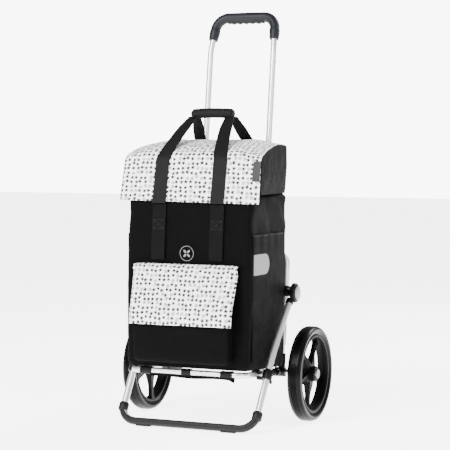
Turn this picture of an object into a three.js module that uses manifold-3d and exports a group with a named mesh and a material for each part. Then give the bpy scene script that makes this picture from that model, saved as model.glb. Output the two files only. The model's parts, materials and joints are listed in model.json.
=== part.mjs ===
// Two-wheeled shopping trolley: a leaning tube frame with a telescopic handle, a fold-up platform,
// a swing-back stand, two wheels on one axle, and a fabric bag with a lid, a front pocket and carry loops.
//
// Millimetres, +Z up, +X to the side, the front of the trolley faces -Y. The ground is z = 0.
// Most values are written in the "ground frame", whose origin is on the ground under the axle.
// The frame, the handle and the axle clamps are written in the "upright frame", which leans back
// with the handle: there +Z runs up along the tubes. The whole model is then moved along Y so that
// its origin is the bottom centre of its bounding box.

import * as THREE from "three";
import { mergeVertices } from "three/addons/utils/BufferGeometryUtils.js";
import Module from "manifold-3d";

const wasm = await Module();
wasm.setup();

// ---------------------------------------------------------------- driving dimensions

const GAP = 0.3; // clearance between pieces that touch

const LEAN = THREE.MathUtils.degToRad(7); // the frame leans back
const HANDLE_FOOT_Y = -34; // where the handle plane meets the ground

const WHEEL_RADIUS = 125;
const TYRE_WIDTH = 38;
const TYRE_HEIGHT = 21;
const TRACK = 475; // between the wheels' middle planes
const RIM_WIDTH = 30;
const RIM_WALL = 6;
const SPOKES = 5;
const WHEEL_SEGMENTS = 32;
const HUB_RADIUS = 20;
const HUB_WIDTH = 36;
const BEARING_RADIUS = 13;
const BEARING_WIDTH = 16;
const WHEEL_BUTTON_RADIUS = 12.4;
const WHEEL_BUTTON_THICKNESS = 3;
const WHEEL_BUTTON_TRAVEL = 2.5;

const AXLE_RADIUS = 5;
const AXLE_FIT = 0.3; // radial clearance of everything that turns on the axle

const HANDLE_TUBE_RADIUS = 8;
const HANDLE_TUBE_WALL = 1.2;
const HANDLE_HALF_WIDTH = 92.7;
const HANDLE_TOP_HALF_WIDTH = 85;
const HANDLE_KINK_HEIGHT = 992; // along the tubes, where the bow bends further back
const HANDLE_BAR_HEIGHT = 1087;
const HANDLE_BAR_BACK = 20;
const HANDLE_BEND_RADIUS = 36;
const HANDLE_FOOT_HEIGHT = 575;
const HANDLE_TRAVEL = 243;
const GRIP_RADIUS = 13.5;
const GRIP_FOOT_HEIGHT = 1022;
const FINGER_WAVES = 6;

const GUIDE_TUBE_RADIUS = 10;
const GUIDE_TUBE_WALL = 1.6;
const GUIDE_FOOT_HEIGHT = 150;
const GUIDE_TOP_HEIGHT = 708;
const COLLAR_RADIUS = 13.5;
const COLLAR_HEIGHT = 34;
const RELEASE_BUTTON_RADIUS = 5;
const RELEASE_TRAVEL = 3;

const FRAME_TUBE_RADIUS = 8.5;
const FRAME_TUBE_WALL = 1.2;
const FRAME_HALF_WIDTH = 156;
const FRAME_BACK = 19; // behind the handle plane
const FRAME_TOP_HEIGHT = 455;
const FRAME_FOOT_HEIGHT = 200;
const FRAME_BEND_RADIUS = 45;
const LOWER_BAR_HEIGHT = 228;
const SPIGOT_RADIUS = 6;
const SPIGOT_WALL = 2;
const SPIGOT_FOOT_HEIGHT = 148; // the spigots stand in the axle brackets from here up

const STAND_TUBE_RADIUS = 8.75;
const STAND_TUBE_WALL = 1.3;
const STAND_BEND_RADIUS = 42;
const STAND_PIVOT = { y: -16, z: 338 };
const STAND_TOP = { x: 191, y: -36, z: 311 };
const STAND_KNEE = { x: 191, y: -139.7, z: 204.8 };
const STAND_FOOT = { x: 188, y: -265, z: 12.6 };
const STAND_KNEE_RADIUS = 650;
const SLEEVE_WALL = 1.9;
const PAD = { from: 99, to: 140, depth: 18, height: 6 };

const PLATFORM_TUBE_RADIUS = 8;
const PLATFORM_TUBE_WALL = 1.2;
const PLATFORM_HALF_WIDTH = 158;
const PLATFORM_PIVOT = { y: -53, z: 130 };
const PLATFORM_FRONT = { y: -262, z: 145.5 };
const PLATFORM_BEND_RADIUS = 28;
const PIVOT_BOLT_RADIUS = 4;
const EYE_REACH = 10; // radius of the moulded eye at each end of the platform's tube

const CLAMP_WALL = 4.5;
const KNOB_HALF_HEIGHT = 26;
const KNOB_HALF_DEPTH = 20;
const KNOB_BUTTON_RADIUS = 18;
const KNOB_INNER_X = 182.5;
const KNOB_OUTER_X = 207;
const KNOB_TRAVEL = 2;
const KNOB_PIN_RADIUS = 5;

const BAG_WALL = 4;
const BAG_BACK = 16.5; // in front of the handle plane
const BAG_RIM_HEIGHT = 592;
const NECK_HEIGHT = 680;
const YOKE_HEIGHT = 724;
const LID_WALL = 3.5;
const LID_HALF_WIDTH = 194;
const LID_BACK_HALF_WIDTH = 162;
const STRAP_WIDTH = 38;
const STRAP_THICKNESS = 2.4;
const STRAP_X = 81;
const STRAP_TOP_X = 46;
const WRAP = { y: -104, z: 808, radius: 12, length: 119 };
const POCKET_HALF_WIDTH = 134;
const FLAP_HALF_WIDTH = 141;
const FLAP_FRONT = -322;
const SKIN = 2.5; // thickness of the pockets and their flap
const TRIM = 1.5; // thickness of tabs, labels and the badge

// the foremost point is the pocket flap, and the rearmost is the back of the grip
const GRIP_REACH =
  HANDLE_FOOT_Y + HANDLE_BAR_BACK * Math.cos(LEAN) + HANDLE_BAR_HEIGHT * Math.sin(LEAN) + GRIP_RADIUS;
const CENTRE_Y = (FLAP_FRONT + GRIP_REACH) / 2;

// ---------------------------------------------------------------- materials

const finish = (color, roughness, metalness = 0) => () =>
  new THREE.MeshStandardMaterial({ color, roughness, metalness });

const aluminium = finish(0xd4d5d6, 0.35, 0.9);
const zincSteel = finish(0xa9abad, 0.4, 0.9);
const blackPlastic = finish(0x1d1e20, 0.55);
const gripPlastic = finish(0x33363b, 0.6);
const silverPlastic = finish(0xa6a8aa, 0.4, 0.2);
const rubber = finish(0x17181a, 0.8);
const blackFabric = finish(0x121214, 0.9);
const printedFabric = finish(0xdedbe2, 0.85);
const webbing = finish(0x1b1c1e, 0.85);
const reflective = finish(0x8b8d90, 0.5);

// ---------------------------------------------------------------- small geometry kit

const V = (x, y, z) => new THREE.Vector3(x, y, z);

// a three.js geometry as a solid
function solidOf(geometry) {
  const bare = geometry.clone();
  for (const name of Object.keys(bare.attributes)) if (name !== "position") bare.deleteAttribute(name);
  const merged = mergeVertices(bare, 1e-4);
  return new wasm.Manifold(
    new wasm.Mesh({
      numProp: 3,
      vertProperties: merged.attributes.position.array,
      triVerts: new Uint32Array(merged.index.array),
    }),
  );
}

// a solid as a flat-shaded three.js geometry
function geometryOf(solid) {
  const mesh = solid.getMesh();
  const indexed = new THREE.BufferGeometry();
  indexed.setAttribute("position", new THREE.BufferAttribute(new Float32Array(mesh.vertProperties), 3));
  indexed.setIndex(new THREE.BufferAttribute(new Uint32Array(mesh.triVerts), 1));
  const flat = indexed.toNonIndexed();
  flat.computeVertexNormals();
  return flat;
}

// joins the first geometries and takes the others away
function carve(adds, cuts = []) {
  let body = adds.map(solidOf).reduce((a, b) => a.add(b));
  for (const cut of cuts) body = body.subtract(solidOf(cut));
  return geometryOf(body);
}

// a rod of one radius between two points
function rod(from, to, radius, sides = 14) {
  const along = to.clone().sub(from);
  const geometry = new THREE.CylinderGeometry(radius, radius, along.length(), sides);
  const turn = new THREE.Quaternion().setFromUnitVectors(V(0, 1, 0), along.clone().normalize());
  return geometry.applyQuaternion(turn).translate(...from.clone().add(to).multiplyScalar(0.5).toArray());
}

const rodX = (x0, x1, y, z, radius, sides) => rod(V(x0, y, z), V(x1, y, z), radius, sides);
const rodZ = (x, y, z0, z1, radius, sides) => rod(V(x, y, z0), V(x, y, z1), radius, sides);

// a rod along a direction, between two distances from a point
const rodAlong = (point, way, from, to, radius, sides) =>
  rod(point.clone().addScaledVector(way, from), point.clone().addScaledVector(way, to), radius, sides);

// a box between two x, y and z values
function block(x0, x1, y0, y1, z0, z1) {
  return new THREE.BoxGeometry(Math.abs(x1 - x0), y1 - y0, z1 - z0).translate(
    (x0 + x1) / 2,
    (y0 + y1) / 2,
    (z0 + z1) / 2,
  );
}

// a closed profile given as [y, z] points, pulled along X
function alongX(profile, x0, x1, steps = 1) {
  const shape = new THREE.Shape(profile.map(([y, z]) => new THREE.Vector2(y, z)));
  const geometry = new THREE.ExtrudeGeometry(shape, { depth: x1 - x0, steps, bevelEnabled: false });
  // the shape's x, y and depth become the model's y, z and x
  const p = geometry.attributes.position;
  for (let i = 0; i < p.count; i++) p.setXYZ(i, p.getZ(i) + x0, p.getX(i), p.getY(i));
  return geometry;
}

// moves every vertex of a geometry
function remap(geometry, move) {
  const p = geometry.attributes.position;
  for (let i = 0; i < p.count; i++) {
    const q = move(V(p.getX(i), p.getY(i), p.getZ(i)));
    p.setXYZ(i, q.x, q.y, q.z);
  }
  return geometry;
}

const BEND_STEP = THREE.MathUtils.degToRad(18);
const TUBE_SIDES = 10;

// A route through corner points with rounded bends. Its stations lie only where the bends need them.
class Route extends THREE.Curve {
  constructor(corners, radii) {
    super();
    this.stations = [];
    corners.forEach((corner, i) => {
      const before = corners[i - 1];
      const after = corners[i + 1];
      if (!before || !after) {
        const way = before ? corner.clone().sub(before) : after.clone().sub(corner);
        this.stations.push({ point: corner, way: way.normalize() });
        return;
      }
      const into = corner.clone().sub(before).normalize();
      const out = after.clone().sub(corner).normalize();
      const turn = into.angleTo(out);
      const radius = radii[i - 1];
      const start = corner.clone().addScaledVector(into, -radius * Math.tan(turn / 2));
      const steps = Math.max(1, Math.round(turn / BEND_STEP));
      const side = out.clone().addScaledVector(into, -out.dot(into)).normalize();
      for (let k = 0; k <= steps; k++) {
        const angle = (turn * k) / steps;
        const point = start
          .clone()
          .addScaledVector(into, radius * Math.sin(angle))
          .addScaledVector(side, radius * (1 - Math.cos(angle)));
        const way = into.clone().multiplyScalar(Math.cos(angle)).addScaledVector(side, Math.sin(angle));
        this.stations.push({ point, way });
      }
    });
  }
  station(u) {
    return this.stations[Math.round(u * (this.stations.length - 1))];
  }
  getPoint(u) {
    return this.station(u).point.clone();
  }
  getPointAt(u) {
    return this.getPoint(u);
  }
  getTangentAt(u) {
    return this.station(u).way.clone();
  }
}

function circle(radius, sides) {
  return Array.from({ length: sides }, (_, i) => {
    const a = (2 * Math.PI * (i + 0.5)) / sides;
    return new THREE.Vector2(radius * Math.cos(a), radius * Math.sin(a));
  });
}

// sweeps a section along a route
function sweep(route, section, hole) {
  const shape = new THREE.Shape(section);
  if (hole) shape.holes.push(new THREE.Path(hole));
  return new THREE.ExtrudeGeometry(shape, {
    extrudePath: route,
    steps: route.stations.length - 1,
    bevelEnabled: false,
  });
}

const tube = (route, radius, wall) =>
  sweep(route, circle(radius, TUBE_SIDES), circle(radius - wall, TUBE_SIDES));

// a ring or disc turned about X: the profile is [radius, x] points and closes on itself
function turnedAboutX(profile, segments) {
  const closed = [...profile, profile[0]].map(([r, x]) => new THREE.Vector2(r, x));
  return new THREE.LatheGeometry(closed, segments).rotateZ(-Math.PI / 2);
}

// a ring turned about Z
function ringZ(inner, outer, z0, z1, segments = 14) {
  const profile = [
    [inner, z0],
    [outer, z0],
    [outer, z1],
    [inner, z1],
    [inner, z0],
  ].map(([r, z]) => new THREE.Vector2(r, z));
  return new THREE.LatheGeometry(profile, segments).rotateX(Math.PI / 2);
}

// a ring around X between two x values
function ringX(x0, x1, inner, outer, y, z, segments = 14) {
  return turnedAboutX(
    [
      [inner, x0],
      [outer, x0],
      [outer, x1],
      [inner, x1],
    ],
    segments,
  ).translate(0, y, z);
}

// ---------------------------------------------------------------- the scene graph

const trolley = new THREE.Group();
const ground = new THREE.Group(); // the ground frame
ground.position.y = -CENTRE_Y;
trolley.add(ground);

const upright = new THREE.Group(); // the upright frame
upright.position.y = HANDLE_FOOT_Y;
upright.rotation.x = -LEAN;
ground.add(upright);

function add(group, name, geometry, look) {
  const mesh = new THREE.Mesh(geometry, look());
  mesh.name = name;
  group.add(mesh);
}

const SIDES = [
  ["left", -1],
  ["right", 1],
];

// a point of the upright frame, in the ground frame
const fromUpright = (x, y, z) => V(x, y, z).applyAxisAngle(V(1, 0, 0), -LEAN).add(V(0, HANDLE_FOOT_Y, 0));
// the y of a plane parallel to the handle plane, at a height in the ground frame
const leaningY = (back, z) => HANDLE_FOOT_Y + back / Math.cos(LEAN) + z * Math.tan(LEAN);

// ---------------------------------------------------------------- frame

// the inverted U, the bar welded between its legs, and a swaged spigot at each foot
function rearFrame() {
  const inside = FRAME_TUBE_RADIUS - FRAME_TUBE_WALL;
  const bowFrom = (foot) =>
    new Route(
      [
        V(-FRAME_HALF_WIDTH, FRAME_BACK, foot),
        V(-FRAME_HALF_WIDTH, FRAME_BACK, FRAME_TOP_HEIGHT),
        V(FRAME_HALF_WIDTH, FRAME_BACK, FRAME_TOP_HEIGHT),
        V(FRAME_HALF_WIDTH, FRAME_BACK, foot),
      ],
      [FRAME_BEND_RADIUS, FRAME_BEND_RADIUS],
    );
  const bow = sweep(bowFrom(FRAME_FOOT_HEIGHT), circle(FRAME_TUBE_RADIUS, TUBE_SIDES));
  const hollow = sweep(bowFrom(FRAME_FOOT_HEIGHT + 20), circle(inside, 8));
  const bar = rodX(-FRAME_HALF_WIDTH, FRAME_HALF_WIDTH, FRAME_BACK, LOWER_BAR_HEIGHT, FRAME_TUBE_RADIUS - 1);
  const foot = SPIGOT_FOOT_HEIGHT + GAP;
  const spigots = SIDES.map(([, side]) =>
    rodZ(side * FRAME_HALF_WIDTH, FRAME_BACK, foot, FRAME_FOOT_HEIGHT + 5, SPIGOT_RADIUS, 12),
  );
  const bore = SPIGOT_RADIUS - SPIGOT_WALL;
  const bores = SIDES.map(([, side]) =>
    rodZ(side * FRAME_HALF_WIDTH, FRAME_BACK, foot - 1, FRAME_FOOT_HEIGHT + 25, bore, 8),
  );
  return carve([bow, bar, ...spigots], [hollow, ...bores]);
}
add(upright, "rear_frame", rearFrame(), aluminium);

// telescopic guide tubes, with a collar and a release button on each, and clamps on both cross bars
function guides(name, side) {
  const x = side * HANDLE_HALF_WIDTH;
  const bore = GUIDE_TUBE_RADIUS - GUIDE_TUBE_WALL;
  const guide = ringZ(bore, GUIDE_TUBE_RADIUS, GUIDE_FOOT_HEIGHT, GUIDE_TOP_HEIGHT).translate(x, 0, 0);
  add(upright, `guide_tube_${name}`, guide, aluminium);

  const collarFoot = GUIDE_TOP_HEIGHT + GAP - COLLAR_HEIGHT / 2;
  const collarTop = collarFoot + COLLAR_HEIGHT;
  const bossBack = COLLAR_RADIUS + 8;
  const button = collarTop - COLLAR_HEIGHT / 4;
  const collar = carve(
    [
      rodZ(x, 0, collarFoot, collarTop, COLLAR_RADIUS, 18),
      block(x - 8, x + 8, 0, bossBack, button - 8, button + 8),
    ],
    [
      rodZ(x, 0, collarFoot - 1, GUIDE_TOP_HEIGHT + GAP, GUIDE_TUBE_RADIUS + GAP, 18),
      rodZ(x, 0, collarFoot, collarTop + 1, bore, 18),
      rod(V(x, bossBack - 8, button), V(x, bossBack + 1, button), RELEASE_BUTTON_RADIUS + GAP),
    ],
  );
  add(upright, `guide_collar_${name}`, collar, blackPlastic);
  const buttonInner = bossBack - 8 + RELEASE_TRAVEL + 1;
  const buttonOuter = bossBack + RELEASE_TRAVEL;
  const release = rod(V(x, buttonInner, button), V(x, buttonOuter, button), RELEASE_BUTTON_RADIUS);
  add(upright, `handle_release_${name}`, release, silverPlastic);
}
for (const [name, side] of SIDES) guides(name, side);

// a moulded yoke at each cross bar holds both guide tubes
function yoke(name, height) {
  const reach = FRAME_TUBE_RADIUS + CLAMP_WALL;
  const boss = GUIDE_TUBE_RADIUS + CLAMP_WALL;
  const bosses = SIDES.map(([, side]) =>
    rodZ(side * HANDLE_HALF_WIDTH, 0, height - reach, height + reach, boss, 18),
  );
  const half = HANDLE_HALF_WIDTH + boss;
  const bores = SIDES.map(([, side]) =>
    rodZ(side * HANDLE_HALF_WIDTH, 0, height - 2 * reach, height + 2 * reach, GUIDE_TUBE_RADIUS + GAP),
  );
  const bar = rodX(-half - 5, half + 5, FRAME_BACK, height, FRAME_TUBE_RADIUS + GAP);
  const back = block(-half, half, 2, FRAME_BACK + reach, height - reach, height + reach);
  add(upright, name, carve([back, ...bosses], [bar, ...bores]), blackPlastic);
}
yoke("upper_yoke", FRAME_TOP_HEIGHT);
yoke("lower_yoke", LOWER_BAR_HEIGHT);

// ---------------------------------------------------------------- axle and its brackets

const POST_OUTER_X = FRAME_HALF_WIDTH + 11;
const ARM_X = [139, 147.5]; // the arm that carries the platform's pivot bolt

// the rod, with a spacer pressed on between each bracket and its wheel
const spacers = SIDES.map(([, side]) =>
  rodX(
    side * (POST_OUTER_X + GAP),
    side * ((TRACK - HUB_WIDTH) / 2 - GAP),
    0,
    WHEEL_RADIUS,
    AXLE_RADIUS + 3,
  ),
);
const axleEnd = (TRACK + HUB_WIDTH) / 2 - 1;
add(ground, "axle", carve([rodX(-axleEnd, axleEnd, 0, WHEEL_RADIUS, AXLE_RADIUS), ...spacers]), zincSteel);

function axleBracket(name, side) {
  const postFoot = fromUpright(side * FRAME_HALF_WIDTH, FRAME_BACK, 128);
  const postTop = fromUpright(side * FRAME_HALF_WIDTH, FRAME_BACK, 177);
  const armSpan = V(0, PLATFORM_PIVOT.y, PLATFORM_PIVOT.z - WHEEL_RADIUS);
  const armLength = armSpan.length();
  const arm = block(side * ARM_X[0], side * ARM_X[1], -armLength, 0, -8.5, 8.5)
    .rotateX(Math.atan2(-armSpan.z, -armSpan.y))
    .translate(0, 0, WHEEL_RADIUS);
  const bracket = carve(
    [
      rod(postFoot, postTop, 9.5, 16),
      rodX(side * ARM_X[0], side * POST_OUTER_X, 0, WHEEL_RADIUS, 12.5, 18),
      arm,
      rodX(side * ARM_X[0], side * ARM_X[1], PLATFORM_PIVOT.y, PLATFORM_PIVOT.z, 8.5, 16),
    ],
    [
      rodX(-TRACK, TRACK, 0, WHEEL_RADIUS, AXLE_RADIUS + GAP, 16),
      rodX(-TRACK, TRACK, PLATFORM_PIVOT.y, PLATFORM_PIVOT.z, PIVOT_BOLT_RADIUS + GAP, 16),
      rod(
        fromUpright(side * FRAME_HALF_WIDTH, FRAME_BACK, SPIGOT_FOOT_HEIGHT),
        fromUpright(side * FRAME_HALF_WIDTH, FRAME_BACK, 190),
        SPIGOT_RADIUS + GAP,
        16,
      ),
    ],
  );
  add(ground, `axle_bracket_${name}`, bracket, blackPlastic);

  // a shank through the arm and the eye, with a domed head on the outside
  const boltHead = PLATFORM_HALF_WIDTH + EYE_REACH + 1 + GAP;
  const bolt = carve([
    rodX(side * (ARM_X[0] - 2), side * boltHead, PLATFORM_PIVOT.y, PLATFORM_PIVOT.z, PIVOT_BOLT_RADIUS, 16),
    rodX(side * (boltHead - 1), side * (boltHead + 3), PLATFORM_PIVOT.y, PLATFORM_PIVOT.z, 7, 6),
  ]);
  add(ground, `platform_bolt_${name}`, bolt, zincSteel);
}

for (const [name, side] of SIDES) axleBracket(name, side);

// ---------------------------------------------------------------- wheels

function wheel(name, side) {
  const middle = (side * TRACK) / 2;
  const inward = -side;
  const seat = WHEEL_RADIUS - TYRE_HEIGHT;
  const half = TYRE_WIDTH / 2;
  const place = (geometry) => geometry.translate(middle, 0, WHEEL_RADIUS);

  const tyre = turnedAboutX(
    [
      [seat, -half + 6],
      [seat + 13, -half],
      [WHEEL_RADIUS - 4, -half + 2],
      [WHEEL_RADIUS, -half + 9],
      [WHEEL_RADIUS, half - 9],
      [WHEEL_RADIUS - 4, half - 2],
      [seat + 13, half],
      [seat, half - 6],
    ],
    WHEEL_SEGMENTS,
  );
  add(ground, `tyre_${name}`, place(tyre), rubber);

  const rimOuter = seat - GAP;
  const rimInner = rimOuter - RIM_WALL;
  const barrel = turnedAboutX(
    [
      [rimInner, -RIM_WIDTH / 2],
      [rimOuter, -RIM_WIDTH / 2 + 2],
      [rimOuter, RIM_WIDTH / 2 - 2],
      [rimInner, RIM_WIDTH / 2],
      [rimInner - 2, 4],
      [rimInner - 2, -4],
    ],
    WHEEL_SEGMENTS,
  );
  const hub = rodX(-HUB_WIDTH / 2, HUB_WIDTH / 2, 0, 0, HUB_RADIUS, 20);
  const spokes = Array.from({ length: SPOKES }, (_, i) =>
    remap(block(-8, 8, -8, 8, HUB_RADIUS - 3, rimInner + 1), (p) =>
      // each spoke narrows towards the rim
      V(p.x * (p.z > HUB_RADIUS ? 0.8 : 1), p.y * (p.z > HUB_RADIUS ? 0.8 : 1.2), p.z),
    ).rotateX((2 * Math.PI * (i + 0.5)) / SPOKES),
  );
  const bearingInnerX = (inward * HUB_WIDTH) / 2;
  const bearingMiddleX = bearingInnerX - (inward * BEARING_WIDTH) / 2;
  const bore = rodX(-TRACK, TRACK, 0, 0, AXLE_RADIUS + AXLE_FIT);
  const seatEnd = bearingInnerX - inward * (BEARING_WIDTH + GAP);
  const bearingSeat = rodX(2 * bearingInnerX, seatEnd, 0, 0, BEARING_RADIUS + GAP, 18);
  const rim = carve([barrel, hub, ...spokes], [bore, bearingSeat]);
  add(ground, `rim_${name}`, place(rim), blackPlastic);

  const reach = BEARING_WIDTH / 2;
  const bearing = ringX(-reach, reach, AXLE_RADIUS + AXLE_FIT, BEARING_RADIUS, 0, 0, 18);
  add(ground, `bearing_${name}`, place(bearing.translate(bearingMiddleX, 0, 0)), zincSteel);

  // the release button on the hub's face pushes in towards the axle's end
  const face = side * (HUB_WIDTH / 2 + WHEEL_BUTTON_TRAVEL + GAP);
  const button = rodX(face, face + side * WHEEL_BUTTON_THICKNESS, 0, 0, WHEEL_BUTTON_RADIUS, 22);
  add(ground, `wheel_button_${name}`, place(button), silverPlastic);
}
for (const [name, side] of SIDES) wheel(name, side);

// ---------------------------------------------------------------- handle

// the bow's centre line, from one foot over the top to the other
const handleCorners = (footHeight) => {
  const half = [
    V(HANDLE_HALF_WIDTH, 0, footHeight),
    V(HANDLE_HALF_WIDTH, 0, HANDLE_KINK_HEIGHT),
    V(HANDLE_TOP_HALF_WIDTH, HANDLE_BAR_BACK, HANDLE_BAR_HEIGHT),
  ];
  const mirrored = half.map((p) => V(-p.x, p.y, p.z));
  return [...mirrored, ...half.reverse()];
};
const handleRadii = [120, HANDLE_BEND_RADIUS, HANDLE_BEND_RADIUS, 120];

function handleTube() {
  const route = new Route(handleCorners(HANDLE_FOOT_HEIGHT), handleRadii);
  const outside = sweep(route, circle(HANDLE_TUBE_RADIUS, TUBE_SIDES));
  const inside = sweep(
    new Route(handleCorners(HANDLE_FOOT_HEIGHT - 1), handleRadii),
    circle(HANDLE_TUBE_RADIUS - HANDLE_TUBE_WALL, 8),
  );
  // one hole for each height, on the outer side of each leg
  const holes = SIDES.flatMap(([, side]) =>
    [0, HANDLE_TRAVEL].map((step) => {
      const height = GUIDE_TOP_HEIGHT + COLLAR_HEIGHT / 4 + step;
      return rodX(side * HANDLE_HALF_WIDTH, side * (HANDLE_HALF_WIDTH + 20), 0, height, 3.4, 12);
    }),
  );
  return carve([outside], [inside, ...holes]);
}
add(upright, "handle_bow", handleTube(), aluminium);

// The grip is moulded round the bow, with a softer insert with finger waves under the bar.
function grip() {
  const corners = handleCorners(GRIP_FOOT_HEIGHT);
  const kinked = corners.map((p) =>
    // the arms start above the kink, on the bow's own line
    p.z === GRIP_FOOT_HEIGHT ? onUpperArm(p.x, GRIP_FOOT_HEIGHT) : p,
  );
  const route = kinked.filter((p) => p.z !== HANDLE_KINK_HEIGHT);
  const radii = [HANDLE_BEND_RADIUS, HANDLE_BEND_RADIUS];
  const body = solidOf(sweep(new Route(route, radii), circle(GRIP_RADIUS, 14)));
  const bowRoute = new Route(handleCorners(HANDLE_FOOT_HEIGHT), handleRadii);
  const bore = solidOf(sweep(bowRoute, circle(HANDLE_TUBE_RADIUS + GAP, TUBE_SIDES)));
  const insertLength = HANDLE_TOP_HALF_WIDTH - HANDLE_BEND_RADIUS + 6;
  const waves = Array.from({ length: FINGER_WAVES }, (_, i) => {
    const x = -insertLength + ((i + 0.5) * 2 * insertLength) / FINGER_WAVES;
    return rod(V(x, -30, -GRIP_RADIUS - 9), V(x, 30, -GRIP_RADIUS - 9), 10, 14);
  });
  const under = block(-insertLength, insertLength, -7, 7, -GRIP_RADIUS - 1, -HANDLE_TUBE_RADIUS - GAP);
  const pocket = block(-insertLength - GAP, insertLength + GAP, -7 - GAP, 7 + GAP, -GRIP_RADIUS - 2, 0);
  const atBar = (geometry) => geometry.translate(0, HANDLE_BAR_BACK, HANDLE_BAR_HEIGHT);
  add(upright, "finger_grip", carve([atBar(under)], waves.map(atBar)), rubber);

  add(upright, "grip", geometryOf(body.subtract(bore).subtract(solidOf(atBar(pocket)))), gripPlastic);
}

// a point on the bow's arm between the kink and the bar
function onUpperArm(x, height) {
  const share = (height - HANDLE_KINK_HEIGHT) / (HANDLE_BAR_HEIGHT - HANDLE_KINK_HEIGHT);
  const half = THREE.MathUtils.lerp(HANDLE_HALF_WIDTH, HANDLE_TOP_HALF_WIDTH, share);
  return V(Math.sign(x) * half, HANDLE_BAR_BACK * share, height);
}
grip();

// ---------------------------------------------------------------- stand

const standCorners = () => {
  const half = [STAND_TOP, STAND_KNEE, STAND_FOOT].map(({ x, y, z }) => V(x, y, z));
  return [...half.map((p) => V(-p.x, p.y, p.z)), ...half.reverse()];
};
const standRoute = new Route(
  standCorners(),
  [STAND_KNEE_RADIUS, STAND_BEND_RADIUS, STAND_BEND_RADIUS, STAND_KNEE_RADIUS],
);
add(ground, "stand_bow", tube(standRoute, STAND_TUBE_RADIUS, STAND_TUBE_WALL), aluminium);

// a point of the straight lower leg at a height, and the leg's direction
const legWay = V(
  STAND_KNEE.x - STAND_FOOT.x,
  STAND_KNEE.y - STAND_FOOT.y,
  STAND_KNEE.z - STAND_FOOT.z,
).normalize();
function onLeg(side, z) {
  const foot = V(STAND_FOOT.x, STAND_FOOT.y, STAND_FOOT.z);
  const p = foot.addScaledVector(legWay, (z - STAND_FOOT.z) / legWay.z);
  return V(side * p.x, p.y, p.z);
}
const legDirection = (side) => V(side * legWay.x, legWay.y, legWay.z);

// an open channel clipped round the foot of the bow, with a bead at each end and two pads underneath
function footSleeve() {
  const inner = STAND_TUBE_RADIUS + GAP;
  const outer = inner + SLEEVE_WALL;
  const foot = V(STAND_FOOT.x, STAND_FOOT.y, STAND_FOOT.z);
  const top = onLeg(1, 50);
  const corners = [V(-top.x, top.y, top.z), V(-foot.x, foot.y, foot.z), foot, top];
  const channel = sweep(new Route(corners, [STAND_BEND_RADIUS, STAND_BEND_RADIUS]), circle(outer, 12));

  // the inside of the bow stays open, so that the tube shows there
  const offset = inner * 0.45;
  const half = STAND_FOOT.x - offset;
  const corner = STAND_BEND_RADIUS - offset;
  const shape = new THREE.Shape()
    .moveTo(-half, 90)
    .lineTo(-half, offset + corner)
    .absarc(corner - half, offset + corner, corner, Math.PI, 1.5 * Math.PI)
    .lineTo(half - corner, offset)
    .absarc(half - corner, offset + corner, corner, 1.5 * Math.PI, 2 * Math.PI)
    .lineTo(half, 90);
  const window = new THREE.ExtrudeGeometry(shape, { depth: 50, bevelEnabled: false, curveSegments: 5 })
    .translate(0, 0, -25)
    .rotateX(Math.atan2(legWay.z, legWay.y))
    .translate(0, foot.y, foot.z);

  const beads = SIDES.map(([, side]) =>
    rodAlong(onLeg(side, 43), legDirection(side), -11, 11, outer + 2, 16),
  );
  const pads = SIDES.map(([, side]) =>
    block(side * PAD.from, side * PAD.to, foot.y - PAD.depth / 2, foot.y + PAD.depth / 2, 0, PAD.height),
  );
  const opened = geometryOf(solidOf(channel).subtract(solidOf(window)));
  return carve([opened, ...beads, ...pads], [sweep(standRoute, circle(inner, TUBE_SIDES))]);
}
add(ground, "foot_sleeve", footSleeve(), rubber);

// ---------------------------------------------------------------- platform

const platformReach = V(0, PLATFORM_FRONT.y - PLATFORM_PIVOT.y, PLATFORM_FRONT.z - PLATFORM_PIVOT.z);
const platformWay = platformReach.normalize();
const onPlatform = (x, along) =>
  V(x, PLATFORM_PIVOT.y, PLATFORM_PIVOT.z).addScaledVector(platformWay, along);
const PLATFORM_EYE = 12; // the tube starts this far in front of the pivot

const platformRoute = new Route(
  [
    onPlatform(-PLATFORM_HALF_WIDTH, PLATFORM_EYE),
    V(-PLATFORM_HALF_WIDTH, PLATFORM_FRONT.y, PLATFORM_FRONT.z),
    V(PLATFORM_HALF_WIDTH, PLATFORM_FRONT.y, PLATFORM_FRONT.z),
    onPlatform(PLATFORM_HALF_WIDTH, PLATFORM_EYE),
  ],
  [PLATFORM_BEND_RADIUS, PLATFORM_BEND_RADIUS],
);
add(ground, "platform_bow", tube(platformRoute, PLATFORM_TUBE_RADIUS, PLATFORM_TUBE_WALL), aluminium);

for (const [name, side] of SIDES) {
  const x = side * PLATFORM_HALF_WIDTH;
  const { y, z } = PLATFORM_PIVOT;
  const eye = carve(
    [
      rod(onPlatform(x, 0), onPlatform(x, 40), EYE_REACH, 16),
      rodX(side * (ARM_X[1] + 1), side * (PLATFORM_HALF_WIDTH + EYE_REACH), y, z, EYE_REACH, 16),
    ],
    [
      rod(onPlatform(x, PLATFORM_EYE - GAP), onPlatform(x, 60), PLATFORM_TUBE_RADIUS + GAP, 16),
      rodX(-TRACK, TRACK, y, z, PIVOT_BOLT_RADIUS + GAP, 16),
    ],
  );
  add(ground, `platform_end_${name}`, eye, blackPlastic);
}

// webbing loops that tie the bag down
const band = (x, width, wall) =>
  ringX(
    x - width / 2,
    x + width / 2,
    PLATFORM_TUBE_RADIUS + GAP,
    PLATFORM_TUBE_RADIUS + GAP + wall,
    PLATFORM_FRONT.y,
    PLATFORM_FRONT.z,
  );
for (const [name, x] of [
  ["left", -110],
  ["centre", 1],
  ["right", 110],
])
  add(ground, `tie_loop_${name}`, band(x, 27, 1.8), webbing);

// ---------------------------------------------------------------- saddles and knobs on the stand

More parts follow.
